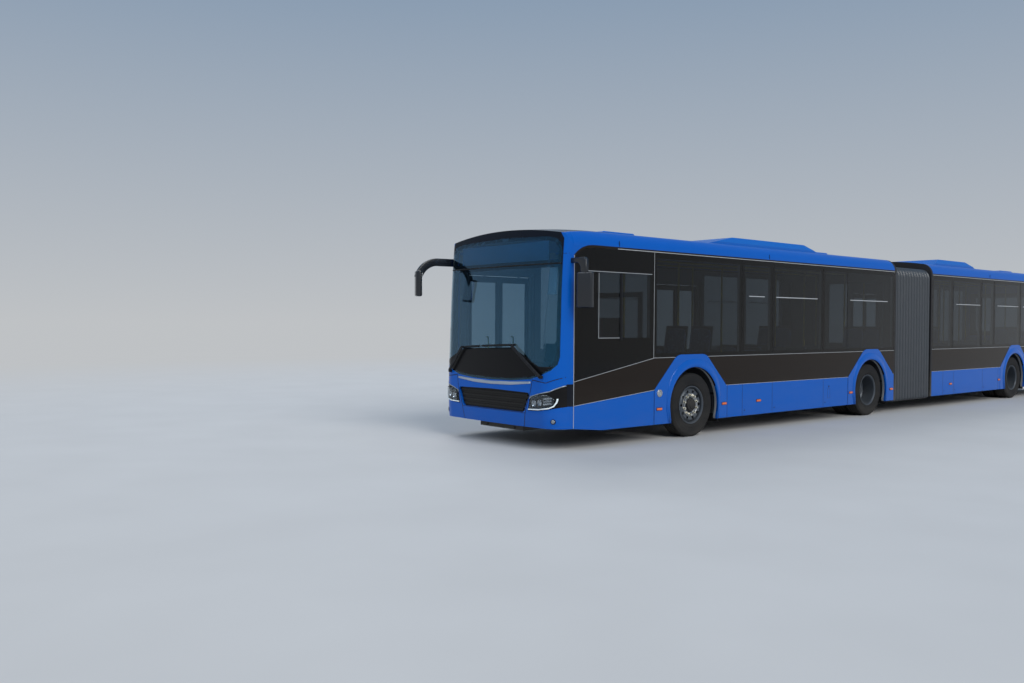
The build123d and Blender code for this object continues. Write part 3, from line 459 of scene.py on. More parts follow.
for section, rows in SEAT_ROWS.items():
    shells, pads = bmesh.new(), bmesh.new()
    boxes = [s for axle, s in AXLES.items() if SECTION_OF[axle] == section]
    for station, side, places, facing in rows:
        high = any(abs(station - s) < BOX_REACH for s in boxes)
        base, foot = (0.72, 1.10) if high else (0.35, 0.35)
        y0, y1 = (1.20 - PLACE_WIDE * places, 1.20) if places == 2 else (0.74, 1.17)
        middle = (y0 + y1) / 2
        block(shells, 0.012, 2, station - 0.05, station + 0.05, side * (middle - 0.03),
              side * (middle + 0.03), foot, base + 0.40)
        width = (y1 - y0) / places
        for i in range(places):
            a, b = side * (y0 + i * width + 0.008), side * (y0 + (i + 1) * width - 0.008)
            block(shells, 0.010, 2, station - SEAT_HALF, station + SEAT_HALF, a, b,
                  base + 0.400, base + 0.425)
            rear = station + facing * SEAT_HALF
            back = slab(shells, rear, rear + facing * 0.025, a, b, base + 0.41, base + 0.955)
            leaned(shells, back, rear, facing, base + 0.42)
            soften(shells, 0.010, 2, edges_of(back))
            a, b = a + side * 0.012, b - side * 0.012
            cushion(pads, station - facing * 0.212, station + facing * 0.192, a, b,
                    base + 0.421, base + 0.460)
            pad = cushion(pads, rear - facing * 0.032, rear + facing * 0.004, a, b,
                          base + 0.46, base + 0.91)
            leaned(pads, pad, rear, facing, base + 0.42)
    body = f"{section}_section"
    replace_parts(shown(f"seat_shells_{section}", shells, seat_plastic, body),
                f"seats_{section}")
    shown(f"seat_pads_{section}", pads, seat_cloth, body, angle=60.0)

# --------------------------------------------------- handrails and driver's place
# Powder-coated steel tubes from floor to ceiling rail; the driver's desk, floor,
# screen and stool are moulded in grained dark plastic round a small black wheel.
rail_coat = coat("rail_powder", (0.62, 0.46, 0.05), 0.35, 0.0, grain=0.2, grain_scale=300.0)
cab_plastic = coat("cab_plastic", (0.055, 0.057, 0.062), 0.55, 0.0, grain=0.4, grain_scale=350.0)
finish_nodes(rail_coat, "handrails_front", "handrails_rear")
finish_nodes(cab_plastic, "cab")

# ------------------------------------------------------- side walls and surrounds
# Bonded panels on a welded frame: blue skirts and cove, a gloss black band between them
# with a brown tint that is a painted reflection of the street, and blue surrounds with a
# rolled lip round the wheels.
# COVE_LOW, the band's top, lies about 2 cm over the cove seal; the band's black strip there is
# painted shade for the shadow gap under the cove.
HALF_WIDTH, SKIRT_LOW, BAND_LOW, COVE_LOW, SURROUND_TOP = 1.275, 0.245, 0.75, 2.752, 1.245
WALL_END = 8.86                 # station where the front section's side walls end
# BAND is the band's gloss black, tinted brown as a painted reflection of the street.
BLUE, BAND = (0.001, 0.092, 0.440), (0.012, 0.0080, 0.0058)
SURROUND = {                    # station of the middle, half of the top, slope outwards
    "front": (2.712, 0.338, 1.02), "mid": (8.005, 0.262, 1.14), "drive": (14.640, 0.262, 1.14)}
OPENING, LIP_LOW = 0.585, 0.572     # radius of the wheel's opening, and where the lip starts
LIP_LINE = [                    # radius, distance proud of the wall
    (LIP_LOW, -0.012), (LIP_LOW, 0.010), (0.576, 0.017), (0.588, 0.022), (0.602, 0.024),
    (0.620, 0.0235), (0.640, 0.020), (0.660, 0.0145), (0.680, 0.0090), (0.700, 0.0045)]


def between(tree, value, low, high):
    """One where a value lies between two others, and nought elsewhere."""
    return product(tree, above(tree, value, low), below(tree, value, high))


# Which paint goes where: the band lies over a line that rises from the front and
# under one that dips at the front corner; the lining starts inside the panels.
zones, zones_in, zones_out = shader_group(
    "paint_zones", [("Body", "c", (*BLUE, 1)), ("Band", "c", (*BAND, 1)),
                    ("Lining", "c", (0.30, 0.31, 0.32, 1)), ("Panel Y", "f", 1.255),
                    ("Ceiling Z", "f", 2.80)], [("Color", "c")])
x, y, z = split_place(zones)
rise = calc(zones, "MULTIPLY_ADD", x, -0.0854, 0.60 + 0.0854 * at(0.25))
dip = calc(zones, "POWER", calc(zones, "MAXIMUM", calc(zones, "ADD", x, -at(0.70)), 0.0), 3.0)
band = between(zones, z, calc(zones, "MINIMUM", rise, BAND_LOW),
               calc(zones, "MULTIPLY_ADD", dip, -1.65, COVE_LOW))
paint = blended(zones, band, zones_in["Body"], zones_in["Band"])
inside = product(zones, below(zones, calc(zones, "ABSOLUTE", y), zones_in["Panel Y"]),
                 below(zones, z, zones_in["Ceiling Z"]))
fed(zones, zones_out, {"Color": blended(zones, inside, paint, zones_in["Lining"])})


def placed_group(made, group):
    """The node that holds a shader group in a material."""
    return next(n for n in made.node_tree.nodes if n.type == "GROUP" and n.node_tree == group)


def painted(made, source):
    """Feeds a colour to the paint under the road film of a finish."""
    fed(made.node_tree, placed_group(made, film), {"Paint": source})
    return made


def livery(name, panel_y=HALF_WIDTH - 0.02, ceiling=2.80, **how):
    """Body paint in its zones, with the lining inside."""
    made = coat(name, BLUE, **how)
    inputs = {"Panel Y": panel_y, "Ceiling Z": ceiling}
    return painted(made, added(made.node_tree, "Group", inputs, node_tree=zones).outputs["Color"])


def baked(thing):
    """Applies a piece's modifiers to its mesh."""
    graph = bpy.context.evaluated_depsgraph_get()
    mesh = bpy.data.meshes.new_from_object(thing.evaluated_get(graph))
    thing.modifiers.clear()
    thing.data = mesh


def walled(thing, name, thickness, offset=-1.0):
    """Gives an open sheet its thickness, on the inside or half on each side."""
    wall = thing.modifiers.new(name, "SOLIDIFY")
    wall.thickness, wall.offset = thickness, offset


def filled(bm, points):
    """One face with the given corners."""
    return bm.faces.new([bm.verts.new(point) for point in points])


def only_verts(geom):
    """The corners among mixed geometry."""
    return [g for g in geom if isinstance(g, bmesh.types.BMVert)]


def pushed(bm, faces, vec):
    """Extrudes faces, which gives a plate its thickness."""
    grown = bmesh.ops.extrude_face_region(bm, geom=faces)["geom"]
    bmesh.ops.translate(bm, vec=vec, verts=only_verts(grown))


def rounded(bm, corners, radius, segments):
    """Rounds the corners of a flat outline."""
    bmesh.ops.bevel(bm, geom=corners, offset=radius, offset_type="OFFSET", segments=segments,
                    profile=0.5, affect="VERTICES", material=-1)


blue_paint = coat("blue_paint", BLUE, 0.20, 0.10, 0.9, clear=0.15)
side_paint = livery("side_paint", gloss=0.20, dust=0.10, reach=0.9)
black_trim = coat("black_trim", (0.007, 0.007, 0.008), 0.40, 0.12, 1.2)
finish_nodes(side_paint, *(f"wall_{side}_{section}" for section in SECTIONS for side in SIDES))
for axle, (middle, half_top, slope) in SURROUND.items():
    body, station, centre = f"{SECTION_OF[axle]}_section", AXLES[axle], at(AXLES[axle])
    foot = half_top + (SURROUND_TOP - BAND_LOW) * slope
    back = min(foot, WALL_END - middle) if axle == "mid" else foot
    outline = [(-foot, SKIRT_LOW), (-foot, BAND_LOW), (-half_top, SURROUND_TOP),
               (half_top, SURROUND_TOP), (back, BAND_LOW), (back, SKIRT_LOW)]
    for side, k in SIDES.items():
        bm = bmesh.new()
        filled(bm, [(at(middle + s), k * (HALF_WIDTH - 0.004), z) for s, z in outline])
        rounded(bm, [v for v in bm.verts if v.co.z > SURROUND_TOP - 0.045], 0.085, 6)
        pushed(bm, bm.faces[:1], (0, k * 0.009, 0))
        panel = shown(f"surround_{axle}_{side}", bm, blue_paint)
        bm = bmesh.new()        # the wheel's opening, cut by a disc and a block below it
        place = Matrix.Translation((centre, k * HALF_WIDTH, TYRE_RADIUS))
        bmesh.ops.create_cone(bm, cap_ends=True, segments=96, radius1=OPENING, radius2=OPENING,
                              depth=0.4, matrix=place @ Matrix.Rotation(math.radians(90), 4, "X"))
        knives = [shown("knife_round", bm, black_trim)]
        bm = bmesh.new()
        slab(bm, station - 0.555, station + 0.555, k * (HALF_WIDTH - 0.2), k * (HALF_WIDTH + 0.2),
             0.0, TYRE_RADIUS)
        knives.append(shown("knife_low", bm, black_trim))
        for knife in knives:
            cut = panel.modifiers.new("cut", "BOOLEAN")
            cut.operation, cut.solver, cut.object = "DIFFERENCE", "EXACT", knife
        baked(panel)
        for knife in knives:
            bpy.data.objects.remove(knife)
        panel.data.shade_smooth()
        panel.data.set_sharp_from_angle(angle=math.radians(30))
        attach(panel, body)
        # Rolled lip: a rounded strip down one leg, over the wheel and down the other.
        bm = bmesh.new()
        start = [bm.verts.new((centre + r, k * (HALF_WIDTH + y), TYRE_RADIUS)) for r, y in LIP_LINE]
        edges = [bm.edges.new(pair) for pair in zip(start, start[1:])]
        bmesh.ops.spin(bm, geom=start + edges, cent=(centre, 0, TYRE_RADIUS), axis=(0, -1, 0),
                       angle=math.pi, steps=60)
        for v in bm.verts:      # widest over the wheel, half as wide at the legs
            x, z = v.co.x - centre, v.co.z - TYRE_RADIUS
            r = math.hypot(x, z)
            slim = (LIP_LOW + (r - LIP_LOW) * (0.50 + 0.50 * min(1.0, z / r * 1.4))) / r
            v.co.x, v.co.z = centre + x * slim, TYRE_RADIUS + z * slim
        ends = [e for e in bm.edges if e.is_boundary and
                all(abs(v.co.z - TYRE_RADIUS) < 1e-4 for v in e.verts)]
        drop = bmesh.ops.extrude_edge_only(bm, edges=ends)["geom"]
        bmesh.ops.translate(bm, vec=(0, 0, SKIRT_LOW - TYRE_RADIUS), verts=only_verts(drop))
        for v in bm.verts:      # the arch is a little wider than its legs
            if v.co.z < TYRE_RADIUS - 1e-4:
                v.co.x += 0.030 if v.co.x < centre else -0.030
        walled(shown(f"arch_lip_{axle}_{side}", bm, blue_paint, body, angle=70.0),
               "sheet", 0.004)

# ------------------------------------------------------------ seals on the sides
# Rolled bright strips cover the long joints, rubber beads the upright ones. The
# skirt is cut in flaps with quarter-turn locks, and carries amber side markers.
DOORWAYS = {"d1": ("front", 0.430), "d2": ("front", 4.760), "d3": ("rear", 11.750)}
DOORWAY = 1.250
SPANS = {"front": (0.25, WALL_END), "rear": (10.44, 17.74)}
LOW_SEAL, MID_SEAL, COVE_SEAL = (0.7475, 0.7530), (1.2035, 1.2095), (2.7210, 2.7300)
COVE_JOINTS = {"front": (1.12, 4.69), "rear": (13.20,)}
JOINTS = {                      # stations of the upright joints between panes
    ("front", 1): (1.85, 3.96, 4.80, 6.31, 7.13), ("front", -1): (1.85, 3.20, 7.50),
    ("rear", 1): (11.39, 12.80, 13.45, 14.92, 16.30), ("rear", -1): (14.60, 16.20)}
FLAPS = {                       # stations of the joints in the skirt
    ("front", 1): (1.865, 3.585, 3.98, 4.80, 6.35, 7.17),
    ("front", -1): (1.865, 3.585, 4.60, 6.15, 7.17),
    ("rear", 1): (10.95, 11.45, 12.87, 13.70, 15.60, 16.50, 17.10),
    ("rear", -1): (10.95, 11.62, 13.12, 15.60, 16.50, 17.10)}
SERVICE_FLAP = (6.492, 6.572, 0.400, 0.570)     # stations and heights of its sides
SLANTED = (                     # ends (station, z) and width of the joints by the driver
    ((0.252, 0.920), (1.848, 1.203), 0.006), ((0.252, 0.600), (1.90, 0.748), 0.006),
    ((1.848, 1.203), (1.852, 2.715), 0.006), ((0.256, 0.302), (0.256, 2.600), 0.008))
MARKERS = {"front": (1.972, 3.50, 4.415, 7.263, 8.755), "rear": (11.30, 13.745, 15.62, 17.40)}


def clear_runs(start, end, holes):
    """The stretches from start to end that no hole takes."""
    runs, at_now = [], start
    for a, b in sorted(holes):
        if a > at_now:
            runs.append((at_now, min(a, end)))
        at_now = max(at_now, b)
    return [run for run in runs + [(at_now, end)] if run[1] - run[0] > 0.02]


def plate(bm, k, s0, s1, z0, z1, proud=0.004, deep=0.006):
    """A flat strip on the side wall, k = 1 on the left."""
    return slab(bm, s0, s1, k * (HALF_WIDTH - deep), k * (HALF_WIDTH + proud), z0, z1)


seal_line = coat("bright_seal", (0.58, 0.60, 0.62), 0.30, 0.3, 1.2, metal=0.6)
amber = coat("amber_marker", (0.75, 0.16, 0.05), 0.18, 0.2, 1.2, clear=0.4)
for section, (s0, s1) in SPANS.items():
    bright, beads, locks, bases, lenses = (bmesh.new() for _ in range(5))
    axles = [a for a in AXLES if SECTION_OF[a] == section]
    body = f"{section}_section"

    def beside_arches(start, extra, low_half):
        """The stretches of a long seal between the doorways and the surrounds."""
        arches = [(SURROUND[a][0] - SURROUND[a][1] - extra - low_half * SURROUND[a][2],
                   SURROUND[a][0] + SURROUND[a][1] + extra + low_half * SURROUND[a][2])
                  for a in axles]
        return clear_runs(start, s1, doors + arches)

    for k in SIDES.values():
        doors = [(s, s + DOORWAY) for part, s in DOORWAYS.values() if part == section and k < 0]
        plate(bright, k, s0 if section == "rear" else 1.09, s1, *COVE_SEAL, proud=0.0022)
        for s in COVE_JOINTS[section]:
            plate(beads, k, s - 0.003, s + 0.003, 2.756, 2.835, proud=0.0010)
        for a, b in beside_arches(1.85 if section == "front" and k > 0 else s0, 0.045, 0.0):
            plate(bright, k, a, b, *MID_SEAL, proud=0.002)
        for a, b in beside_arches(1.90 if section == "front" else s0, 0.0, 0.495):
            plate(bright, k, a, b, *LOW_SEAL, proud=0.002)
        for s in JOINTS[section, k]:
            plate(beads, k, s - 0.0045, s + 0.0045, 1.212, 2.715, proud=0.0015)
        for s in FLAPS[section, k]:
            plate(beads, k, s - 0.0035, s + 0.0035, SKIRT_LOW + 0.004, 0.745, proud=0.0008)
            if not any(abs(s - AXLES[a]) < 1.0 for a in axles):
                stud(locks, (at(s + 0.06), k * HALF_WIDTH, 0.330), 0.011, 0.003, k, 20)
                stud(locks, (at(s + 0.06), k * HALF_WIDTH, 0.330), 0.006, 0.005, k, 6)
        if k < 0 or section == "rear":
            continue
        a, b, low, high = SERVICE_FLAP      # the service flap with its lock above
        for sides in ((a, a + 0.004, low, high), (b - 0.004, b, low, high),
                      (a, b, low, low + 0.004), (a, b, high - 0.004, high)):
            plate(beads, k, *sides, proud=0.0008)
        stud(locks, (at(6.533), HALF_WIDTH, 0.607), 0.016, 0.004, k, 24)
        stud(locks, (at(6.533), HALF_WIDTH, 0.607), 0.008, 0.007, k, 6)
        for (a, low), (b, high), wide in SLANTED:
            run = Vector((at(b) - at(a), 0, high - low))
            turn = Matrix.Rotation(-math.atan2(run.z, run.x), 4, "Y")
            place = Matrix.Translation((at((a + b) / 2), HALF_WIDTH, (low + high) / 2))
            bmesh.ops.create_cube(bright, size=1.0, matrix=place @ turn @ Matrix.Diagonal(
                (run.length, 0.006, wide, 1)))
    for label, bm, finish in (("bright_seals", bright, seal_line),
                              ("joint_beads", beads, black_trim),
                              ("flap_locks", locks, black_trim)):
        soften(bm, 0.0006, 1)
        shown(f"{label}_{section}", bm, finish, body)
    for s in MARKERS[section]:
        for k in SIDES.values():
            if k < 0 and any(a - 0.1 < s < a + DOORWAY + 0.1 for _, a in DOORWAYS.values()):
                continue
            lift = 0.009 if any(abs(s - AXLES[a]) < 0.86 for a in axles) else 0.004
            base = plate(bases, k, s - 0.062, s + 0.062, 0.443, 0.488, lift)
            soften(bases, 0.003, 2, edges_of(base))
            lens = plate(lenses, k, s - 0.055, s + 0.055, 0.449, 0.482, lift + 0.011, -0.001)
            soften(lenses, 0.007, 3, edges_of(lens))
    shown(f"marker_bases_{section}", bases, black_trim, body)
    shown(f"marker_lenses_{section}", lenses, amber, body)

# -------------------------------------------- filler, driver's and hopper windows
# A round plated filler lid, the driver's sliding window in a black frame, and
# tilting top lights with a bright lower bar and two finger catches each.
HOPPERS = {("front", 1): ((4.135, 4.555), (4.885, 6.130), (7.220, 8.580)),
           ("front", -1): ((3.34, 4.44), (6.36, 7.28), (7.70, 8.62)),
           ("rear", 1): ((11.52, 12.70), (13.62, 14.78), (15.06, 16.14), (16.44, 17.56)),
           ("rear", -1): ((13.30, 14.42), (14.78, 16.00), (16.36, 17.56))}


def border(bm, k, s0, s1, z0, z1, width, proud, deep=0.004):
    """A rectangular frame on the pane: an inset rectangle given its thickness."""
    level = k * (HALF_WIDTH - deep)
    face = filled(bm, [(at(s), level, z) for s, z in ((s0, z0), (s1, z0), (s1, z1), (s0, z1))])
    bmesh.ops.inset_region(bm, faces=[face], thickness=width)
    reach = width + 1e-5
    ring = [f for f in bm.faces if f.is_valid and f is not face and all(
        min(abs(v.co.x - at(s0)), abs(v.co.x - at(s1))) < reach or
        min(abs(v.co.z - z0), abs(v.co.z - z1)) < reach for v in f.verts)
        and abs(f.calc_center_median().y - level) < 1e-5
        and at(s1) <= f.calc_center_median().x <= at(s0)]
    bmesh.ops.delete(bm, geom=[face], context="FACES_ONLY")
    pushed(bm, ring, (0, k * (proud + deep), 0))


plated_lid = coat("plated_lid", (0.50, 0.52, 0.54), 0.24, 0.15, 1.2, metal=0.9)
frame_black = coat("window_frame", (0.006, 0.006, 0.007), 0.30, 0.05, 1.5, 0.2, 400.0)
bm = bmesh.new()
spun(bm, [(0.056, -0.004), (0.056, 0.006), (0.052, 0.010), (0.047, 0.010), (0.043, 0.004),
          (0.036, 0.004), (0.030, 0.008), (0.0, 0.009)],
     (at(1.978), HALF_WIDTH, 0.694), 56, closed=False)
for v in bm.verts:
    v.co.y += HALF_WIDTH + 0.006
shown("filler_lid", bm, plated_lid, "front_section", angle=50.0)
bm, lines = bmesh.new(), bmesh.new()
border(bm, 1, 0.690, 1.720, 1.450, 2.396, 0.026, 0.004)
border(bm, 1, 0.705, 1.175, 1.480, 2.390, 0.020, 0.009, deep=0.0)
plate(bm, 1, 1.130, 1.185, 1.465, 2.392, proud=0.0075, deep=-0.002)
soften(bm, 0.0015, 2)
plate(lines, 1, 0.712, 1.125, 1.496, 1.503, proud=0.0105, deep=-0.004)
plate(lines, 1, 0.710, 0.716, 1.500, 2.380, proud=0.0105, deep=-0.004)
plate(lines, 1, 0.415, 1.800, 2.399, 2.406, proud=0.0045, deep=-0.002)
soften(lines, 0.001, 1)
shown("driver_window_frame", bm, frame_black, "front_section")
shown("driver_window_rails", lines, seal_line, "front_section")
for (section, k), rows in HOPPERS.items():
    bars, frames = bmesh.new(), bmesh.new()
    for a, b in rows:
        border(frames, k, a, b, 2.150, 2.372, 0.012, 0.003)
        plate(bars, k, a, b, 2.138, 2.152, proud=0.006)
        for s in (a + 0.14, b - 0.14):
            plate(frames, k, s - 0.030, s + 0.030, 2.155, 2.172, proud=0.006)
    soften(frames, 0.001, 1)
    soften(bars, 0.0015, 2)
    tag = f"{section}_{'left' if k > 0 else 'right'}"
    shown(f"hopper_frames_{tag}", frames, frame_black, f"{section}_section")
    shown(f"hopper_bars_{tag}", bars, seal_line, f"{section}_section")

# ---------------------------------------------------------------------- mudflaps
# Moulded rubber sheets with upright ribs, hung behind each wheel and held to the
# frame by a folded steel clip.
FLAP_OUTER, FLAP_RIBS = 1.235, 7
for section in SECTIONS:
    sheets, clips = bmesh.new(), bmesh.new()
    for axle in (a for a in AXLES if SECTION_OF[a] == section):
        s, inner = AXLES[axle], 0.93 if axle == "front" else 0.66
        for k in SIDES.values():
            slab(sheets, s + 0.625, s + 0.633, k * inner, k * FLAP_OUTER, 0.185, 0.62)
            for i in range(FLAP_RIBS):
                y = inner + 0.03 + i * (FLAP_OUTER - inner - 0.06) / (FLAP_RIBS - 1)
                slab(sheets, s + 0.620, s + 0.626, k * (y - 0.006), k * (y + 0.006), 0.20, 0.58)
            slab(clips, s + 0.618, s + 0.640, k * (inner + 0.01), k * 1.225, 0.60, 0.635)
    soften(sheets, 0.0015, 1)
    soften(clips, 0.003, 2)
    shown(f"mudflaps_{section}", sheets, rubber, f"{section}_section")
    shown(f"mudflap_clips_{section}", clips, chassis, f"{section}_section")

# ------------------------------------------------------------------ window glass
# Grey-tinted toughened panes bonded flush with the panels, and a laminated windscreen
# in bluish glass, its reflections tinted blue as a painted reflection of the sky. A faint
# waviness and wiped-on dust lie over their reflections.


def glazing(name, tint, wave=0.03, ior=1.32, sheen=(1.0, 1.0, 1.0)):
    """Clear or tinted glass with a faint waviness and smears, and its reflections' tone."""
    made, tree, shader = blank(name)
    smear = calc(tree, "MULTIPLY_ADD", grain_of(tree, 3.0, 6.0, (1, 1, 2)), 0.12, -0.072)
    dirty = calc(tree, "MULTIPLY", grain_of(tree, 1.3, 5.0), 0.16)
    fed(tree, shader, {
        "Transmission Weight": 1.0, "IOR": ior, "Specular Tint": (*sheen, 1.0),
        "Roughness": calc(tree, "MAXIMUM", smear, 0.0),
        "Base Color": blended(tree, dirty, (*tint, 1), (*[c * 0.7 for c in tint], 1))})
    bumped(tree, shader, grain_of(tree, 1.6, 0.0), wave, 0.02)
    return made


# The windscreen's blue reflection tint (sheen) is a painted reflection of the sky.
screen_glass = glazing("screen_glass", (0.36, 0.54, 0.68), ior=1.80, sheen=(0.20, 0.62, 1.0))
door_glass = glazing("door_glass", (0.26, 0.30, 0.33))
finish_nodes(glazing("side_glass", (0.17, 0.20, 0.225)), "glass_front", "glass_rear")
finish_nodes(screen_glass, "windscreen")

# ---------------------------------------------------------------- the front mask
# One moulded mask in body blue, black round the sign and the roof's front rim,
# with black lamp panels that run to the side joint and a barred grille.
SCREEN_EDGE = (                 # lower edge of the windscreen, from the middle out
    (0.0, 0.905), (0.45, 0.915), (0.79, 0.945), (1.00, 1.010), (1.13, 1.075), (1.195, 1.150),
    (1.213, 1.250))
EDGE_Y, EDGE_Z = 1.3, 3.0       # the curve's reach across and up


def skin_of(*names):
    """A search tree of some CAD nodes' faces."""
    bm = bmesh.new()
    for name in names:
        bm.from_mesh(nodes[name].data)
    made = BVHTree.FromBMesh(bm)
    bm.free()
    return made


def on_front(y, z, proud):
    """A point on the front face at (y, z), standing proud of it."""
    hit, normal, _, _ = front_tree.ray_cast(Vector((FRONT_X + 1.5, y, z)), Vector((-1, 0, 0)))
    if hit is None:
        hit, normal = Vector((FRONT_X, y, z)), Vector((1, 0, 0))
    return hit + normal * proud


def laid(bm, outline, proud, step=0.03, onto=on_front, ahead=1):
    """A patch with a (y, z) outline, cut finely and laid on the front or tail face."""
    fresh = {filled(bm, [(0, y, z) for y, z in outline])}
    for axis in (1, 2):
        low = min(p[axis - 1] for p in outline)
        high = max(p[axis - 1] for p in outline)
        lines = int((high - low) / step)
        for i in range(1, lines + 1):
            point, normal = Vector((0, 0, 0)), Vector((0, 0, 0))
            point[axis], normal[axis] = low + (high - low) * i / (lines + 1), 1.0
            geom = list({v for f in fresh for v in f.verts} |
                        {e for f in fresh for e in f.edges} | fresh)
            cut =bmesh.ops.bisect_plane(bm, geom=geom, dist=1e-6, plane_co=point, plane_no=normal)
            fresh = {g for g in cut["geom"] if isinstance(g, bmesh.types.BMFace)}
    for v in {v for f in fresh for v in f.verts}:
        v.co = onto(v.co.y, v.co.z, proud)
    for f in fresh:
        f.normal_update()
        if f.normal.x * ahead < 0:
            f.normal_flip()


def ribbon(bm, points, width, proud, step=0.03):
    """A thin strip of even width along (y, z) points on the front face."""
    for (y0, z0), (y1, z1) in zip(points, points[1:]):
        long = math.hypot(y1 - y0, z1 - z0)
        ny, nz = -(z1 - z0) / long * width / 2, (y1 - y0) / long * width / 2
        laid(bm, [(y0 + ny, z0 + nz), (y1 + ny, z1 + nz), (y1 - ny, z1 - nz), (y0 - ny, z0 - nz)],
             proud, step)


def sheeted(name, bm, finish, thickness, body="front_section"):
    """Finishes laid patches as one piece with its thickness on the inside."""
    thing = shown(name, bm, finish, body, angle=40.0, recalc=False)
    walled(thing, "sheet", thickness)
    return thing


def mirrored(points, k):
    """(y, z) points on the left, or their mirror image on the right."""
    return [(k * y, z) for y, z in points]


mask_paint = coat("mask_paint", BLUE, 0.18, 0.10, 0.9)
tree = mask_paint.node_tree
x, y, z = split_place(tree)
wide = calc(tree, "ABSOLUTE", y)
# Dark above the windscreen's lower edge and within its side edges, and from
# there over the sign to the roof, where the dark field leans inwards.
edge = added(tree, "FloatCurve", {"Value": calc(tree, "DIVIDE", wide, EDGE_Y)})
line = edge.mapping.curves[0]
line.points[0].location = (0.0, SCREEN_EDGE[0][1] / EDGE_Z)
line.points[1].location = (1.0, 0.50)
for far, tall in SCREEN_EDGE[1:]:
    line.points.new(far / EDGE_Y, tall / EDGE_Z)
for point in line.points:
    point.handle_type = "VECTOR"
edge.mapping.update()
over = calc(tree, "MAXIMUM", calc(tree, "SUBTRACT", z, 2.82), 0.0)
dark = product(tree, below(tree, wide, calc(tree, "MULTIPLY_ADD", over, -0.60, 1.214)),
               above(tree, z, calc(tree, "MULTIPLY", edge.outputs["Value"], EDGE_Z)))
# The lamp panel's black runs on round the corner to the side joint.
corner = product(tree, above(tree, wide, 1.2595), between(tree, z, 0.5975, 0.893))
painted(mask_paint, blended(tree, calc(tree, "MAXIMUM", dark, corner), (*BLUE, 1),
                            (0.004, 0.006, 0.012, 1)))
finish_nodes(mask_paint, "front_mask")
finish_nodes(coat("grille_black", (0.008, 0.0075, 0.0075), 0.28, 0.10, 1.2, 0.2), "grille")
front_tree = skin_of("front_mask", "windscreen", "headlamps")

seams, silver = bmesh.new(), bmesh.new()
for k in SIDES.values():
    for points in ([(0.835, 0.945), (0.800, 0.770), (0.700, 0.500), (0.665, 0.305)],
                   [(0.835, 0.938), (1.070, 0.908), (1.255, 0.985)],
                   [(1.216, 2.615), (1.262, 2.622)]):
        ribbon(seams, mirrored(points, k), 0.010, 0.0008)
    laid(seams, mirrored([(0.0, 2.479), (1.195, 2.479), (1.195, 2.497), (0.0, 2.497)], k), 0.0015)
laid(silver, [(-0.80, 0.888), (-0.40, 0.852), (0, 0.843), (0.40, 0.852), (0.80, 0.888),
              (0.80, 0.918), (0.40, 0.897), (0, 0.890), (-0.40, 0.897), (-0.80, 0.918)], 0.003)
ribbon(seams, [(-0.700, 0.488), (0.700, 0.488)], 0.006, 0.0008)
sheeted("mask_seams", seams, black_trim, 0.003)
sheeted("silver_strip", silver, coat("silver_trim", (0.42, 0.47, 0.55), 0.30, 0.2, metal=0.7),
        0.006)

# --------------------------------------------------- screen print, sign and blind
# Fired black ceramic over the dashboard, laid on the glass's outer face where its black
# also stands for the dark road reflected there, a painted reflection; a dotted sign board
# behind its own pane whose blues are a painted reflection of the sky; and the driver's pale
# roller blind.
# The print sits on the glass's outer face and hides the glass's reflection there: real print and a
# painted dark reflection of the road.
print_and_painted_reflection = coat("ceramic_print_painted_reflection", (0.004, 0.004, 0.005), 0.30, 0.0, grain=0.15, grain_scale=500.0)
bm = bmesh.new()
laid(bm, [(-1.165, 1.13), (-1.08, 1.07), (-0.98, 1.02), (-0.79, 0.975), (-0.45, 0.945), (0, 0.935),
          (0.45, 0.945), (0.79, 0.975), (0.98, 1.02), (1.08, 1.07), (1.165, 1.13), (1.06, 1.12),
          (0.94, 1.12), (0.43, 1.365), (-0.69, 1.330)], 0.0008)
sheeted("screen_print_painted_reflection", bm, print_and_painted_reflection, 0.0008)
sign_board = coat("sign_board", (0.02, 0.06, 0.12), 0.4, 0.0)
tree = sign_board.node_tree
dots = added(tree, "TexVoronoi", {"Scale": 95.0, "Randomness": 0.0, "Vector": place_of(tree)})
# The dots' two blues are a painted reflection of the sky on the board's pane.
painted(sign_board, blended(tree, below(tree, dots.outputs["Distance"], 0.30),
                            (0.030, 0.170, 0.360, 1), (0.060, 0.250, 0.470, 1)))
bm = bmesh.new()
block(bm, 0.006, 2, 0.100, 0.125, -0.95, 0.95, 2.540, 2.800)
shown("sign_board", bm, sign_board, "front_section")
blind_cloth = coat("blind_cloth", (0.55, 0.62, 0.68), 0.85, 0.0, grain=0.4, grain_scale=700.0)
bm = bmesh.new()
laid(bm, [(1.010, 2.090), (1.158, 2.090), (1.158, 2.436), (1.010, 2.436)], -0.030)
blind = sheeted("roller_blind", bm, blind_cloth, 0.0015)
bm = bmesh.new()
laid(bm, [(1.004, 2.078), (1.160, 2.078), (1.160, 2.092), (1.004, 2.092)], -0.026)
bar = sheeted("blind_bar", bm, seal_line, 0.010)

# ------------------------------------------------------------------- the headlamps
# Black moulded pans behind a smooth clear cover, two projectors and a block of
# reflectors in each, a bright light guide below and a brow over the panel whose pale
# grey is a painted highlight along the panel's top edge.
LENS_ZONE = [(0.790, 0.556), (0.960, 0.562), (1.110, 0.588), (1.162, 0.622), (1.180, 0.690),
             (1.095, 0.752), (0.960, 0.738), (0.825, 0.705)]
PROJECTORS = ((0.885, 0.632, 0.046), (0.985, 0.645, 0.040))      # y, z, radius
GUIDES = ([(0.775, 0.546), (0.960, 0.551), (1.115, 0.576), (1.168, 0.606)],
          [(1.165, 0.606), (1.192, 0.655), (1.200, 0.705)])
BROW = [(0.793, 0.690), (0.806, 0.714), (0.950, 0.757), (1.120, 0.797), (1.256, 0.874)]
FOG_LAMP = (1.154, 0.397)
lamp_cover = glazing("lamp_cover", (0.90, 0.92, 0.93), wave=0.0)
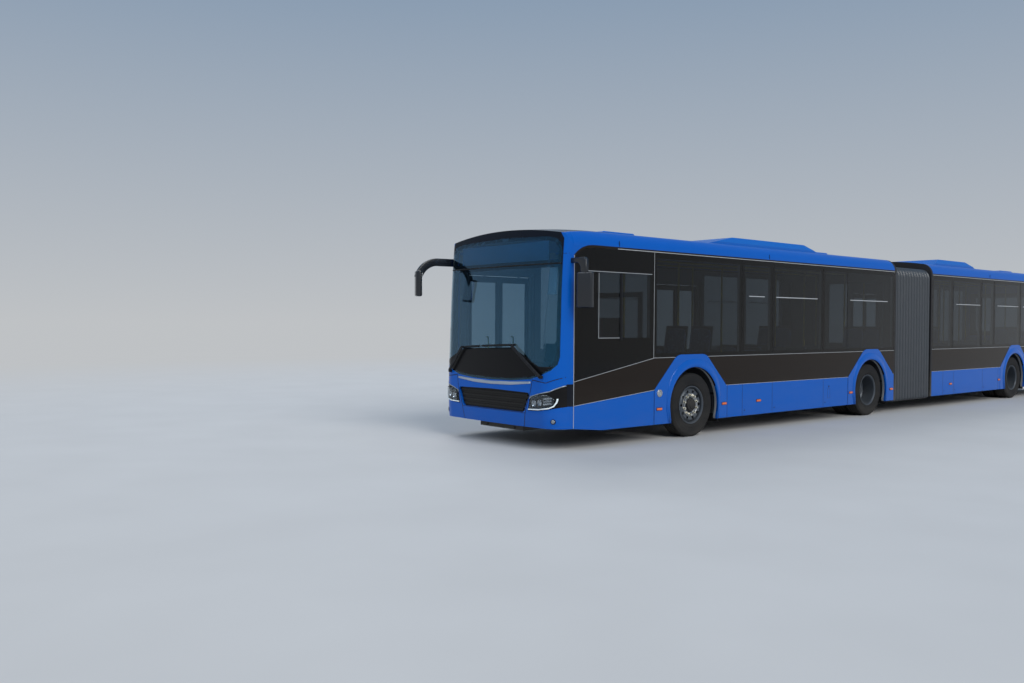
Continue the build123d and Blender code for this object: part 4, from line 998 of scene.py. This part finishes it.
mirror_finish = coat("lamp_mirror", (0.38, 0.41, 0.44), 0.12, 0.0, grain=0.05, grain_scale=60.0,
                     metal=1.0)
guide_white = coat("light_guide", (0.82, 0.90, 0.92), 0.25, 0.0, clear=0.5)
# The brow's pale grey is a painted highlight along the lamp panel's top edge.
brow_highlight_paint = coat("lamp_brow", (0.30, 0.34, 0.37), 0.30, 0.1, metal=0.4)
pan_grey = coat("lamp_pan", (0.045, 0.055, 0.062), 0.30, 0.0, grain=0.2, grain_scale=150.0,
                metal=0.6)
finish_nodes(coat("gloss_black", (0.004, 0.004, 0.005), 0.12, 0.06, 1.2), "headlamps")


def facing_out(y, z, proud=0.0):
    """A frame on the front face whose Z axis points out of it."""
    here, out_to = on_front(y, z, proud), on_front(y, z, proud + 0.1)
    return Matrix.Translation(here) @ (out_to - here).to_track_quat("Z", "Y").to_matrix().to_4x4()


def dome(bm, place, radius, height):
    """A round lens, flattened to a share of its radius."""
    bmesh.ops.create_uvsphere(bm, u_segments=32, v_segments=12, radius=radius,
                              matrix=place @ Matrix.Diagonal((1, 1, height, 1)))


pans, bowls, guides, brows, covers, fogs, fog_rings = (bmesh.new() for _ in range(7))
for k in SIDES.values():
    laid(pans, mirrored(LENS_ZONE, k), 0.0015, 0.02)
    laid(covers, mirrored(LENS_ZONE, k), 0.0180, 0.02)
    for y, z, r in PROJECTORS:
        place = facing_out(k * y, z)
        bmesh.ops.create_cone(bowls, cap_ends=False, segments=40, radius1=r * 0.70, radius2=r,
                              depth=0.010, matrix=place @ Matrix.Translation((0, 0, 0.006)))
        dome(bowls, place, r * 0.70, 0.20)
    for i in range(4):          # a block of small square reflectors
        for j in range(3):
            place = facing_out(k * (1.052 + i * 0.027), 0.624 + j * 0.036 + i * 0.004, 0.004)
            cell = bmesh.ops.create_cube(bowls, size=1.0, matrix=place @ Matrix.Diagonal(
                (0.030, 0.022, 0.006, 1)))["verts"]
            soften(bowls, 0.0025, 2, edges_of(cell))
    for points in GUIDES:
        ribbon(guides, mirrored(points, k), 0.015, 0.0200, 0.02)
    ribbon(brows, mirrored(BROW, k), 0.012, 0.0035, 0.02)
    place = facing_out(k * FOG_LAMP[0], FOG_LAMP[1])
    dome(fogs, place, 0.026, 0.3)
    bmesh.ops.create_cone(fog_rings, cap_ends=False, segments=40, radius1=0.036, radius2=0.029,
                          depth=0.012, matrix=place)
sheeted("lamp_pans", pans, pan_grey, 0.004)
shown("lamp_bowls", bowls, mirror_finish, "front_section")
sheeted("light_guides", guides, guide_white, 0.018)
sheeted("lamp_brows", brows, brow_highlight_paint, 0.005)
sheeted("lamp_covers", covers, lamp_cover, 0.0015)
walled(shown("fog_rings", fog_rings, black_trim, "front_section"),
       "wall", 0.004, 0.0)
shown("fog_lenses", fogs, mirror_finish, "front_section")

# ---------------------------------------------------------------- outside mirrors
# Black moulded housings on broad hollow arms that reach out from the roof's
# corners, with silvered glass to the back and a slim pale rim on the glass.
HEAD_THICK, HEAD_WIDE, ARM_THICK = 0.095, 0.230, 0.056
SHORT_ARM = [(1.240, 2.490), (1.240, 2.560), (1.515, 2.560), (1.550, 2.525), (1.550, 2.345),
             (1.450, 2.345), (1.440, 2.440), (1.400, 2.490)]
mirror_black = coat("mirror_housing", (0.006, 0.008, 0.012), 0.24, 0.05, 2.0, 0.1, shine=0.6)
silvered = coat("silvered_glass", (0.75, 0.78, 0.80), 0.03, 0.05, 3.0, metal=1.0)


def hard_edges(bm, least=0.9):
    """The edges where two faces meet at a clear angle."""
    return [e for e in bm.edges if len(e.link_faces) == 2 and e.calc_face_angle(0) > least]


def long_edges(bm, axis, least):
    """The edges that run along an axis."""
    return [e for e in bm.edges if abs(e.verts[0].co[axis] - e.verts[1].co[axis]) > least]


def mirror_head(s, y, turn, z0, z1):
    """Housing, glass and rim of a head, turned about its upright middle."""
    tall = z1 - z0
    place = (Matrix.Translation((at(s), y, (z0 + z1) / 2)) @
             Matrix.Rotation(math.radians(turn), 4, "Z"))
    body, pane, rim = bmesh.new(), bmesh.new(), bmesh.new()
    bmesh.ops.create_cube(body, size=1.0, matrix=Matrix.Diagonal((HEAD_THICK, HEAD_WIDE, tall, 1)))
    soften(body, 0.036, 7, long_edges(body, 2, 0.1))
    soften(body, 0.022, 5, hard_edges(body))
    for v in body.verts:        # the front is a little narrower than the glass side
        if v.co.x > 0:
            v.co.y *= 0.96
            v.co.z *= 0.985
    for made, x0, x1, wide, high in ((pane, -0.0485, -0.0460, 0.182, tall - 0.062),
                                     (rim, -0.0478, -0.0410, 0.190, tall - 0.054)):
        bmesh.ops.create_cube(made, size=1.0, matrix=Matrix.Translation(((x0 + x1) / 2, 0, 0)) @
                              Matrix.Diagonal((x1 - x0, wide, high, 1)))
        soften(made, 0.020, 5, long_edges(made, 0, 0.001))
    for made in (body, pane, rim):
        bmesh.ops.transform(made, matrix=place, verts=made.verts)
    return body, pane, rim


short_arm = bmesh.new()         # over the driver's window: out and down
face = filled(short_arm, [(at(0.251), y, z) for y, z in SHORT_ARM])
pushed(short_arm, [face], (ARM_THICK, 0, 0))
long_arm = bmesh.new()          # past the windscreen: forward and bent down
slab(long_arm, 0.265, -0.100, -ARM_THICK / 2, ARM_THICK / 2, 2.550, 2.666)
face = max(long_arm.faces, key=lambda f: f.calc_center_median().x)
bmesh.ops.spin(long_arm, geom=[face, *face.edges, *face.verts], cent=(at(-0.128), 0, 2.277),
               axis=(0, 1, 0), angle=math.radians(79), steps=18)
bmesh.ops.remove_doubles(long_arm, verts=long_arm.verts, dist=1e-5)
bmesh.ops.rotate(long_arm, cent=(at(0.240), 0, 0), verts=long_arm.verts,
                 matrix=Matrix.Rotation(math.radians(7.6), 3, "Z"))
bmesh.ops.translate(long_arm, vec=(0, 1.252, 0), verts=long_arm.verts)
for k, tag, arm, head in ((1, "left", short_arm, (0.235, 1.500, 20, 1.900, 2.372)),
                          (-1, "right", long_arm, (-0.443, 1.331, 28, 2.088, 2.470))):
    bmesh.ops.recalc_face_normals(arm, faces=arm.faces)
    soften(arm, 0.013, 4, hard_edges(arm))
    housing, pane, rim = mirror_head(*head)
    if k < 0:
        for bm in (arm, housing, pane, rim):
            bmesh.ops.transform(bm, matrix=Matrix.Diagonal((1, -1, 1, 1)), verts=bm.verts)
    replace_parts(shown(f"mirror_head_{tag}", housing, mirror_black, "front_section",
                      angle=50.0), "mirrors")
    shown(f"mirror_glass_{tag}", pane, silvered, "front_section")
    shown(f"mirror_rim_{tag}", rim, seal_line, "front_section")
    shown(f"mirror_arm_{tag}", arm, mirror_black, "front_section", angle=50.0)

# ----------------------------------------------------------------------- wipers
# Black painted arms under pressed covers, on shafts below the windscreen. Each
# carries a rubber blade whose lip wipes the glass.
WIPERS = (                      # pivot, elbow and blade
    ((1.005, 0.985), (0.430, 1.392), ((0.480, 1.402), (-0.240, 1.372))),
    ((-1.005, 0.985), (-0.690, 1.350), ((-0.720, 1.345), (-0.300, 1.368))))
wiper_black = coat("wiper_black", (0.008, 0.009, 0.012), 0.40, 0.1, 2.0, 0.2)
finish_nodes(wiper_black, "wipers")
covers, lips = bmesh.new(), bmesh.new()
for pivot, elbow, blade in WIPERS:
    ribbon(covers, [pivot, elbow], 0.044, 0.046)
    ribbon(lips, blade, 0.030, 0.012)
sheeted("wiper_covers", covers, wiper_black, 0.005)
sheeted("wiper_blades", lips, rubber, 0.010)

# -------------------------------------------------------------------- the bellows
# Coated cloth in deep folds sewn over hoops, clamped to a frame on each section.
# The folds are rounded at their crests and sharp where they are stitched.
FOLDS, FOLD_STEPS, FOLD_DEPTH = 13, 10, 0.064
HALF_BELLOWS, BELLOWS_LOW, BELLOWS_HIGH = 1.262, 0.205, 2.840
BELLOWS_START, BELLOWS_END = 8.920, 10.380
hide = coat("bellows_cloth", (0.040, 0.048, 0.058), 0.34, 0.25, 2.6, 0.5, 380.0,
            dust_colour=(0.10, 0.10, 0.11, 1), shine=0.5)
mid_z = (BELLOWS_LOW + BELLOWS_HIGH) / 2
half_z = mid_z - BELLOWS_LOW
bm = bmesh.new()
bmesh.ops.create_grid(bm, x_segments=1, y_segments=1, size=1.0)
for v in bm.verts:
    v.co = Vector((at(BELLOWS_START), v.co.x * HALF_BELLOWS,
                   mid_z + v.co.y * (BELLOWS_HIGH - BELLOWS_LOW) / 2))
rounded(bm, [v for v in bm.verts if v.co.z > mid_z], 0.190, 10)
rounded(bm, [v for v in bm.verts if v.co.z < BELLOWS_LOW + 0.001], 0.060, 5)
bmesh.ops.delete(bm, geom=list(bm.faces), context="FACES_ONLY")
ring = list(bm.edges)
pitch = (BELLOWS_END - BELLOWS_START) / (FOLDS * FOLD_STEPS)
for v in bm.verts:              # the first ring lies in a valley
    v.co.y *= (HALF_BELLOWS - FOLD_DEPTH) / HALF_BELLOWS
    v.co.z = mid_z + (v.co.z - mid_z) * (1 - FOLD_DEPTH / half_z)
deep_now = FOLD_DEPTH
for i in range(1, FOLDS * FOLD_STEPS + 1):
    t = (i % FOLD_STEPS) / FOLD_STEPS
    deep = FOLD_DEPTH * (1 - math.sin(math.pi * t) ** 0.6) + 0.001
    grown = bmesh.ops.extrude_edge_only(bm, edges=ring)["geom"]
    ring = [g for g in grown if isinstance(g, bmesh.types.BMEdge)]
    scale = (1, (HALF_BELLOWS - deep) / (HALF_BELLOWS - deep_now),
             (half_z - deep) / (half_z - deep_now))
    corners = only_verts(grown)
    bmesh.ops.scale(bm, vec=scale, space=Matrix.Translation((0, 0, -mid_z)), verts=corners)
    bmesh.ops.translate(bm, vec=(-pitch, 0, 0), verts=corners)
    deep_now = deep
folded = shown("bellows_folds", bm, hide, angle=50.0)
walled(folded, "cloth", 0.004)
baked(folded)
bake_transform(folded)
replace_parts(folded, "bellows")

# ------------------------------------------------------------- roofs and fairings
# Bonded roof skins in body blue, dark at the front rim and dusty on top. Moulded
# covers stand on them over the cooling units, with hatches before and behind.
HATCHES = {"front": (1.75, 7.30), "rear": (13.70, 16.10)}
RIM_END, RIM_HALF, RIM_LOW = 1.10, 1.11, 2.86
roof_paint = livery("roof_paint", HALF_WIDTH - 0.065, RIM_LOW, gloss=0.30, dust=0.10, reach=2.2)
tree = roof_paint.node_tree
x, y, z = split_place(tree)
rim = product(tree, above(tree, x, at(RIM_END)), below(tree, calc(tree, "ABSOLUTE", y), RIM_HALF),
              above(tree, z, RIM_LOW))
painted(roof_paint, blended(tree, rim, placed_group(roof_paint, zones).outputs["Color"],
                            (0.005, 0.010, 0.022, 1)))
fairing_paint = coat("fairing_paint", (0.004, 0.115, 0.46), 0.34, 0.12, 3.2, 0.1, 60.0)
hatch_grey = coat("hatch_grey", (0.30, 0.33, 0.36), 0.45, 0.25, 3.2)
finish_nodes(roof_paint, "roof_front", "roof_rear")
finish_nodes(fairing_paint, "fairing_front", "fairing_rear")
for section, hatches in HATCHES.items():
    bm = bmesh.new()
    for s in hatches:           # an inner lid and two catches on each hatch
        block(bm, 0.004, 2, s + 0.07, s + 0.63, -0.29, 0.29, 3.086, 3.094)
        for y in (-0.20, 0.20):
            block(bm, 0.006, 3, s + 0.58, s + 0.66, y - 0.02, y + 0.02, 3.086, 3.100)
    shown(f"hatch_lids_{section}", bm, hatch_grey, f"{section}_section")

# ------------------------------------------------------------------------- doors
# Two framed glass leaves to a doorway. Extruded black frames hold tinted panes in
# rubber, soft finger guards close the middle, and yellow grips stand inside.
LEAF_LOW, LEAF_HIGH, LEAF_THICK = 0.352, 2.430, 0.036
PANES = ((0.440, 1.090), (1.130, 2.340))
OUTSIDE, INSIDE, PIN_Y = -HALF_WIDTH, -HALF_WIDTH + LEAF_THICK, -1.190
door_black = coat("door_frame", (0.014, 0.014, 0.016), 0.32, 0.3, 1.6, 0.15, 300.0)
post_coat = coat("post_powder", (0.18, 0.19, 0.20), 0.4, 0.1, 1.0, 0.2)


def pipe(name, points, radius, finish, body, steps=12):
    """A smooth tube that bends through (station, y, z) points."""
    curve = bpy.data.curves.new(name, "CURVE")
    curve.dimensions = "3D"
    curve.bevel_depth, curve.bevel_resolution = radius, 5
    curve.use_fill_caps = True
    spline = curve.splines.new("NURBS")
    spline.points.add(len(points) - 1)
    for point, (s, y, z) in zip(spline.points, points):
        point.co = (at(s), y, z, 1.0)
    spline.order_u, spline.use_endpoint_u, spline.resolution_u = 3, True, steps
    thing = put(name, curve)
    bm = bmesh.new()
    bm.from_mesh(bpy.data.meshes.new_from_object(thing))
    bpy.data.objects.remove(thing)
    shown(name, bm, finish, body, angle=60.0)


for door, (section, jamb_front) in DOORWAYS.items():
    for tag, jamb, k in (("front", jamb_front, 1), ("rear", jamb_front + DOORWAY, -1)):
        body = f"{door}_leaf_{tag}"
        a, b = jamb + k * 0.014, jamb + k * (DOORWAY / 2 - 0.005)
        columns = [a, a + k * 0.055, b - k * 0.055, b]
        rows = [LEAF_LOW, *PANES[0], *PANES[1], LEAF_HIGH]
        bm = bmesh.new()
        bmesh.ops.create_grid(bm, x_segments=3, y_segments=5, size=1.0)
        for v in bm.verts:
            i, j = round((v.co.x + 1) * 1.5), round((v.co.y + 1) * 2.5)
            v.co = Vector((at(columns[i]), OUTSIDE, rows[j]))
        panes = [f for f in bm.faces if abs(f.calc_center_median().x - at((a + b) / 2)) < 0.02
                 and any(low < f.calc_center_median().z < high for low, high in PANES)]
        bmesh.ops.delete(bm, geom=panes, context="FACES_ONLY")
        pushed(bm, list(bm.faces), (0, LEAF_THICK, 0))
        bmesh.ops.recalc_face_normals(bm, faces=bm.faces)
        soften(bm, 0.003, 2, hard_edges(bm, 1.0))
        q = jamb + k * 0.280    # station of the pins that join the leaf to its post's arms
        for arm_z, lug_z in ((0.331, 0.372), (2.435, 2.410)):
            low, high = sorted((lug_z, LEAF_LOW + 0.001 if lug_z < 1 else LEAF_HIGH - 0.001))
            block(bm, 0.003, 2, q - 0.022, q + 0.022, INSIDE - 0.002, -1.176, low, high)
            z0, z1 = min(low, arm_z), max(high, arm_z + 0.016)
            place = Matrix.Translation((at(q), PIN_Y, (z0 + z1) / 2))
            bmesh.ops.create_cone(bm, cap_ends=True, segments=28, radius1=0.010, radius2=0.010,
                                  depth=z1 - z0, matrix=place)
        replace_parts(shown(f"{body}_frame", bm, door_black, body), body)
        bm, gasket = bmesh.new(), bmesh.new()
        left, right = columns[1], columns[2]
        for z0, z1 in PANES:
            block(bm, 0.001, 1, left - k * 0.004, right + k * 0.004, OUTSIDE + 0.006,
                  OUTSIDE + 0.012, z0 - 0.004, z1 + 0.004)
            for s0, s1, low, high in (
                    (left, left + k * 0.008, z0, z1), (right - k * 0.008, right, z0, z1),
                    (left, right, z0, z0 + 0.008), (left, right, z1 - 0.008, z1)):
                slab(gasket, s0, s1, OUTSIDE + 0.002, OUTSIDE + 0.018, low, high)
        slab(gasket, b - k * 0.012, b + k * 0.0015, OUTSIDE + 0.004, INSIDE - 0.004,
             LEAF_LOW + 0.01, LEAF_HIGH - 0.01)
        soften(gasket, 0.0015, 1)
        shown(f"{body}_pane", bm, door_glass, body)
        shown(f"{body}_rubber", gasket, rubber, body)
        pipe(f"{body}_grip", [(q + k * 0.090, INSIDE + out, z) for out, z in (
            (-0.002, 1.020), (0.035, 1.020), (0.035, 1.060), (0.035, 1.440), (0.035, 1.480),
            (-0.002, 1.480))], 0.012, rail_coat, body)
        finish_nodes(post_coat, f"{door}_post_{tag}")

# --------------------------------------------------------------------- tail mask
# A moulded tail in body blue with a black field round the rear pane, a stack of
# lamps a side, a slotted engine flap under the pane whose slots hold painted shade, and
# below it a black patch that is painted shade for a recess.
SLOT_LOW, SLOT_STEP, SLOTS, SLOT_HALF = 0.800, 0.090, 6, 0.861
RED, AMBER, CLEAR = (0.45, 0.010, 0.008), (0.70, 0.17, 0.02, 1), (0.50, 0.52, 0.53, 1)
tail_paint = coat("tail_paint", BLUE, 0.20, 0.25, 1.2)
tree = tail_paint.node_tree
x, y, z = split_place(tree)
wide = calc(tree, "ABSOLUTE", y)
field = product(tree, between(tree, z, 1.430, 2.570), below(tree, wide, 1.130))
# Inside the engine slots the paint is near-black: painted shade for their depth.
phase = calc(tree, "FRACT", calc(tree, "DIVIDE", calc(tree, "SUBTRACT", z, SLOT_LOW), SLOT_STEP))
slots = product(tree, between(tree, z, SLOT_LOW, SLOT_LOW + SLOT_STEP * (SLOTS - 0.5)),
                below(tree, wide, SLOT_HALF), below(tree, phase, 0.5))
painted(tail_paint, blended(tree, calc(tree, "MAXIMUM", field, slots), (*BLUE, 1),
                            (0.005, 0.005, 0.006, 1)))
finish_nodes(tail_paint, "tail_mask")
red_lens = coat("red_lens", RED, 0.15, 0.3, 1.3, clear=0.5)
lamp_lens = coat("lamp_lens", RED, 0.15, 0.2, 1.3, clear=0.5)
tree = lamp_lens.node_tree      # amber over red over clear, from the top down
z = split_place(tree)["Z"]
tone = blended(tree, above(tree, z, 1.045), (*RED, 1), AMBER)
painted(lamp_lens, blended(tree, below(tree, z, 0.865), tone, CLEAR))
finish_nodes(lamp_lens, "tail_lamps")
for made in (red_lens, lamp_lens):      # fine moulded ribs across the lens
    tree = made.node_tree
    ribs = added(tree, "TexWave", {"Vector": place_of(tree), "Scale": 30.0}, bands_direction="Z")
    bumped(tree, tree.nodes["Principled BSDF"], ribs.outputs["Fac"], 0.3, 0.003)
tail_tree = skin_of("tail_mask", "tail_lamps", "glass_rear")


def on_tail(y, z, proud):
    """A point on the tail face at (y, z), proud of it but not past its rearmost point."""
    hit, normal, _, _ = tail_tree.ray_cast(Vector((at(17.980) - 1.5, y, z)), Vector((1, 0, 0)))
    spot = hit + normal * proud
    spot.x = max(spot.x, cad_box[0][0] + 0.0005)
    return spot


def tail_field(bm, y0, y1, z0, z1, proud):
    """A patch between two widths and two heights of the tail face."""
    y0, y1 = sorted((y0, y1))
    laid(bm, [(y0, z0), (y1, z0), (y1, z1), (y0, z1)], proud, onto=on_tail, ahead=-1)


bars, seams, trims_and_shade, reds = (bmesh.new() for _ in range(4))
for i in range(SLOTS):          # two bars stand inside each slot
    for low in (0.008, 0.026):
        z = SLOT_LOW + i * SLOT_STEP + low
        tail_field(bars, -0.852, 0.852, z, z + 0.010, 0.011)
for z in (0.740, 1.352):
    tail_field(seams, -0.930, 0.930, z, z + 0.007, 0.0008)
for k in (-1, 1):
    tail_field(seams, k * 0.923, k * 0.930, 0.400, 1.352, 0.0008)
    tail_field(reds, k * 0.945, k * 1.055, 0.420, 0.460, 0.008)
    tail_field(reds, k * 0.945, k * 1.055, 2.600, 2.628, 0.008)
    tail_field(trims_and_shade, k * 0.460, k * 0.640, 0.335, 0.400, 0.004)
    tail_field(trims_and_shade, k * 0.040, k * 0.090, 1.368, 1.392, 0.010)       # the flap's hinges
tail_field(reds, -0.160, 0.160, 2.590, 2.616, 0.008)
# A black patch under the engine flap is painted shade for a recess.
tail_field(trims_and_shade, -0.270, 0.270, 0.500, 0.620, 0.003)
for label, bm, finish, thickness, slot in (
        ("engine_louvres", bars, black_trim, 0.007, "trim_plastic"),
        ("tail_seams", seams, black_trim, 0.003, "trim_plastic"),
        ("tail_trims_and_shade", trims_and_shade, black_trim, 0.008, "trim_plastic"),
        ("tail_reflectors", reds, red_lens, 0.012, "lamp_red")):
    sheeted(label, bm, finish, thickness, body="rear_section")
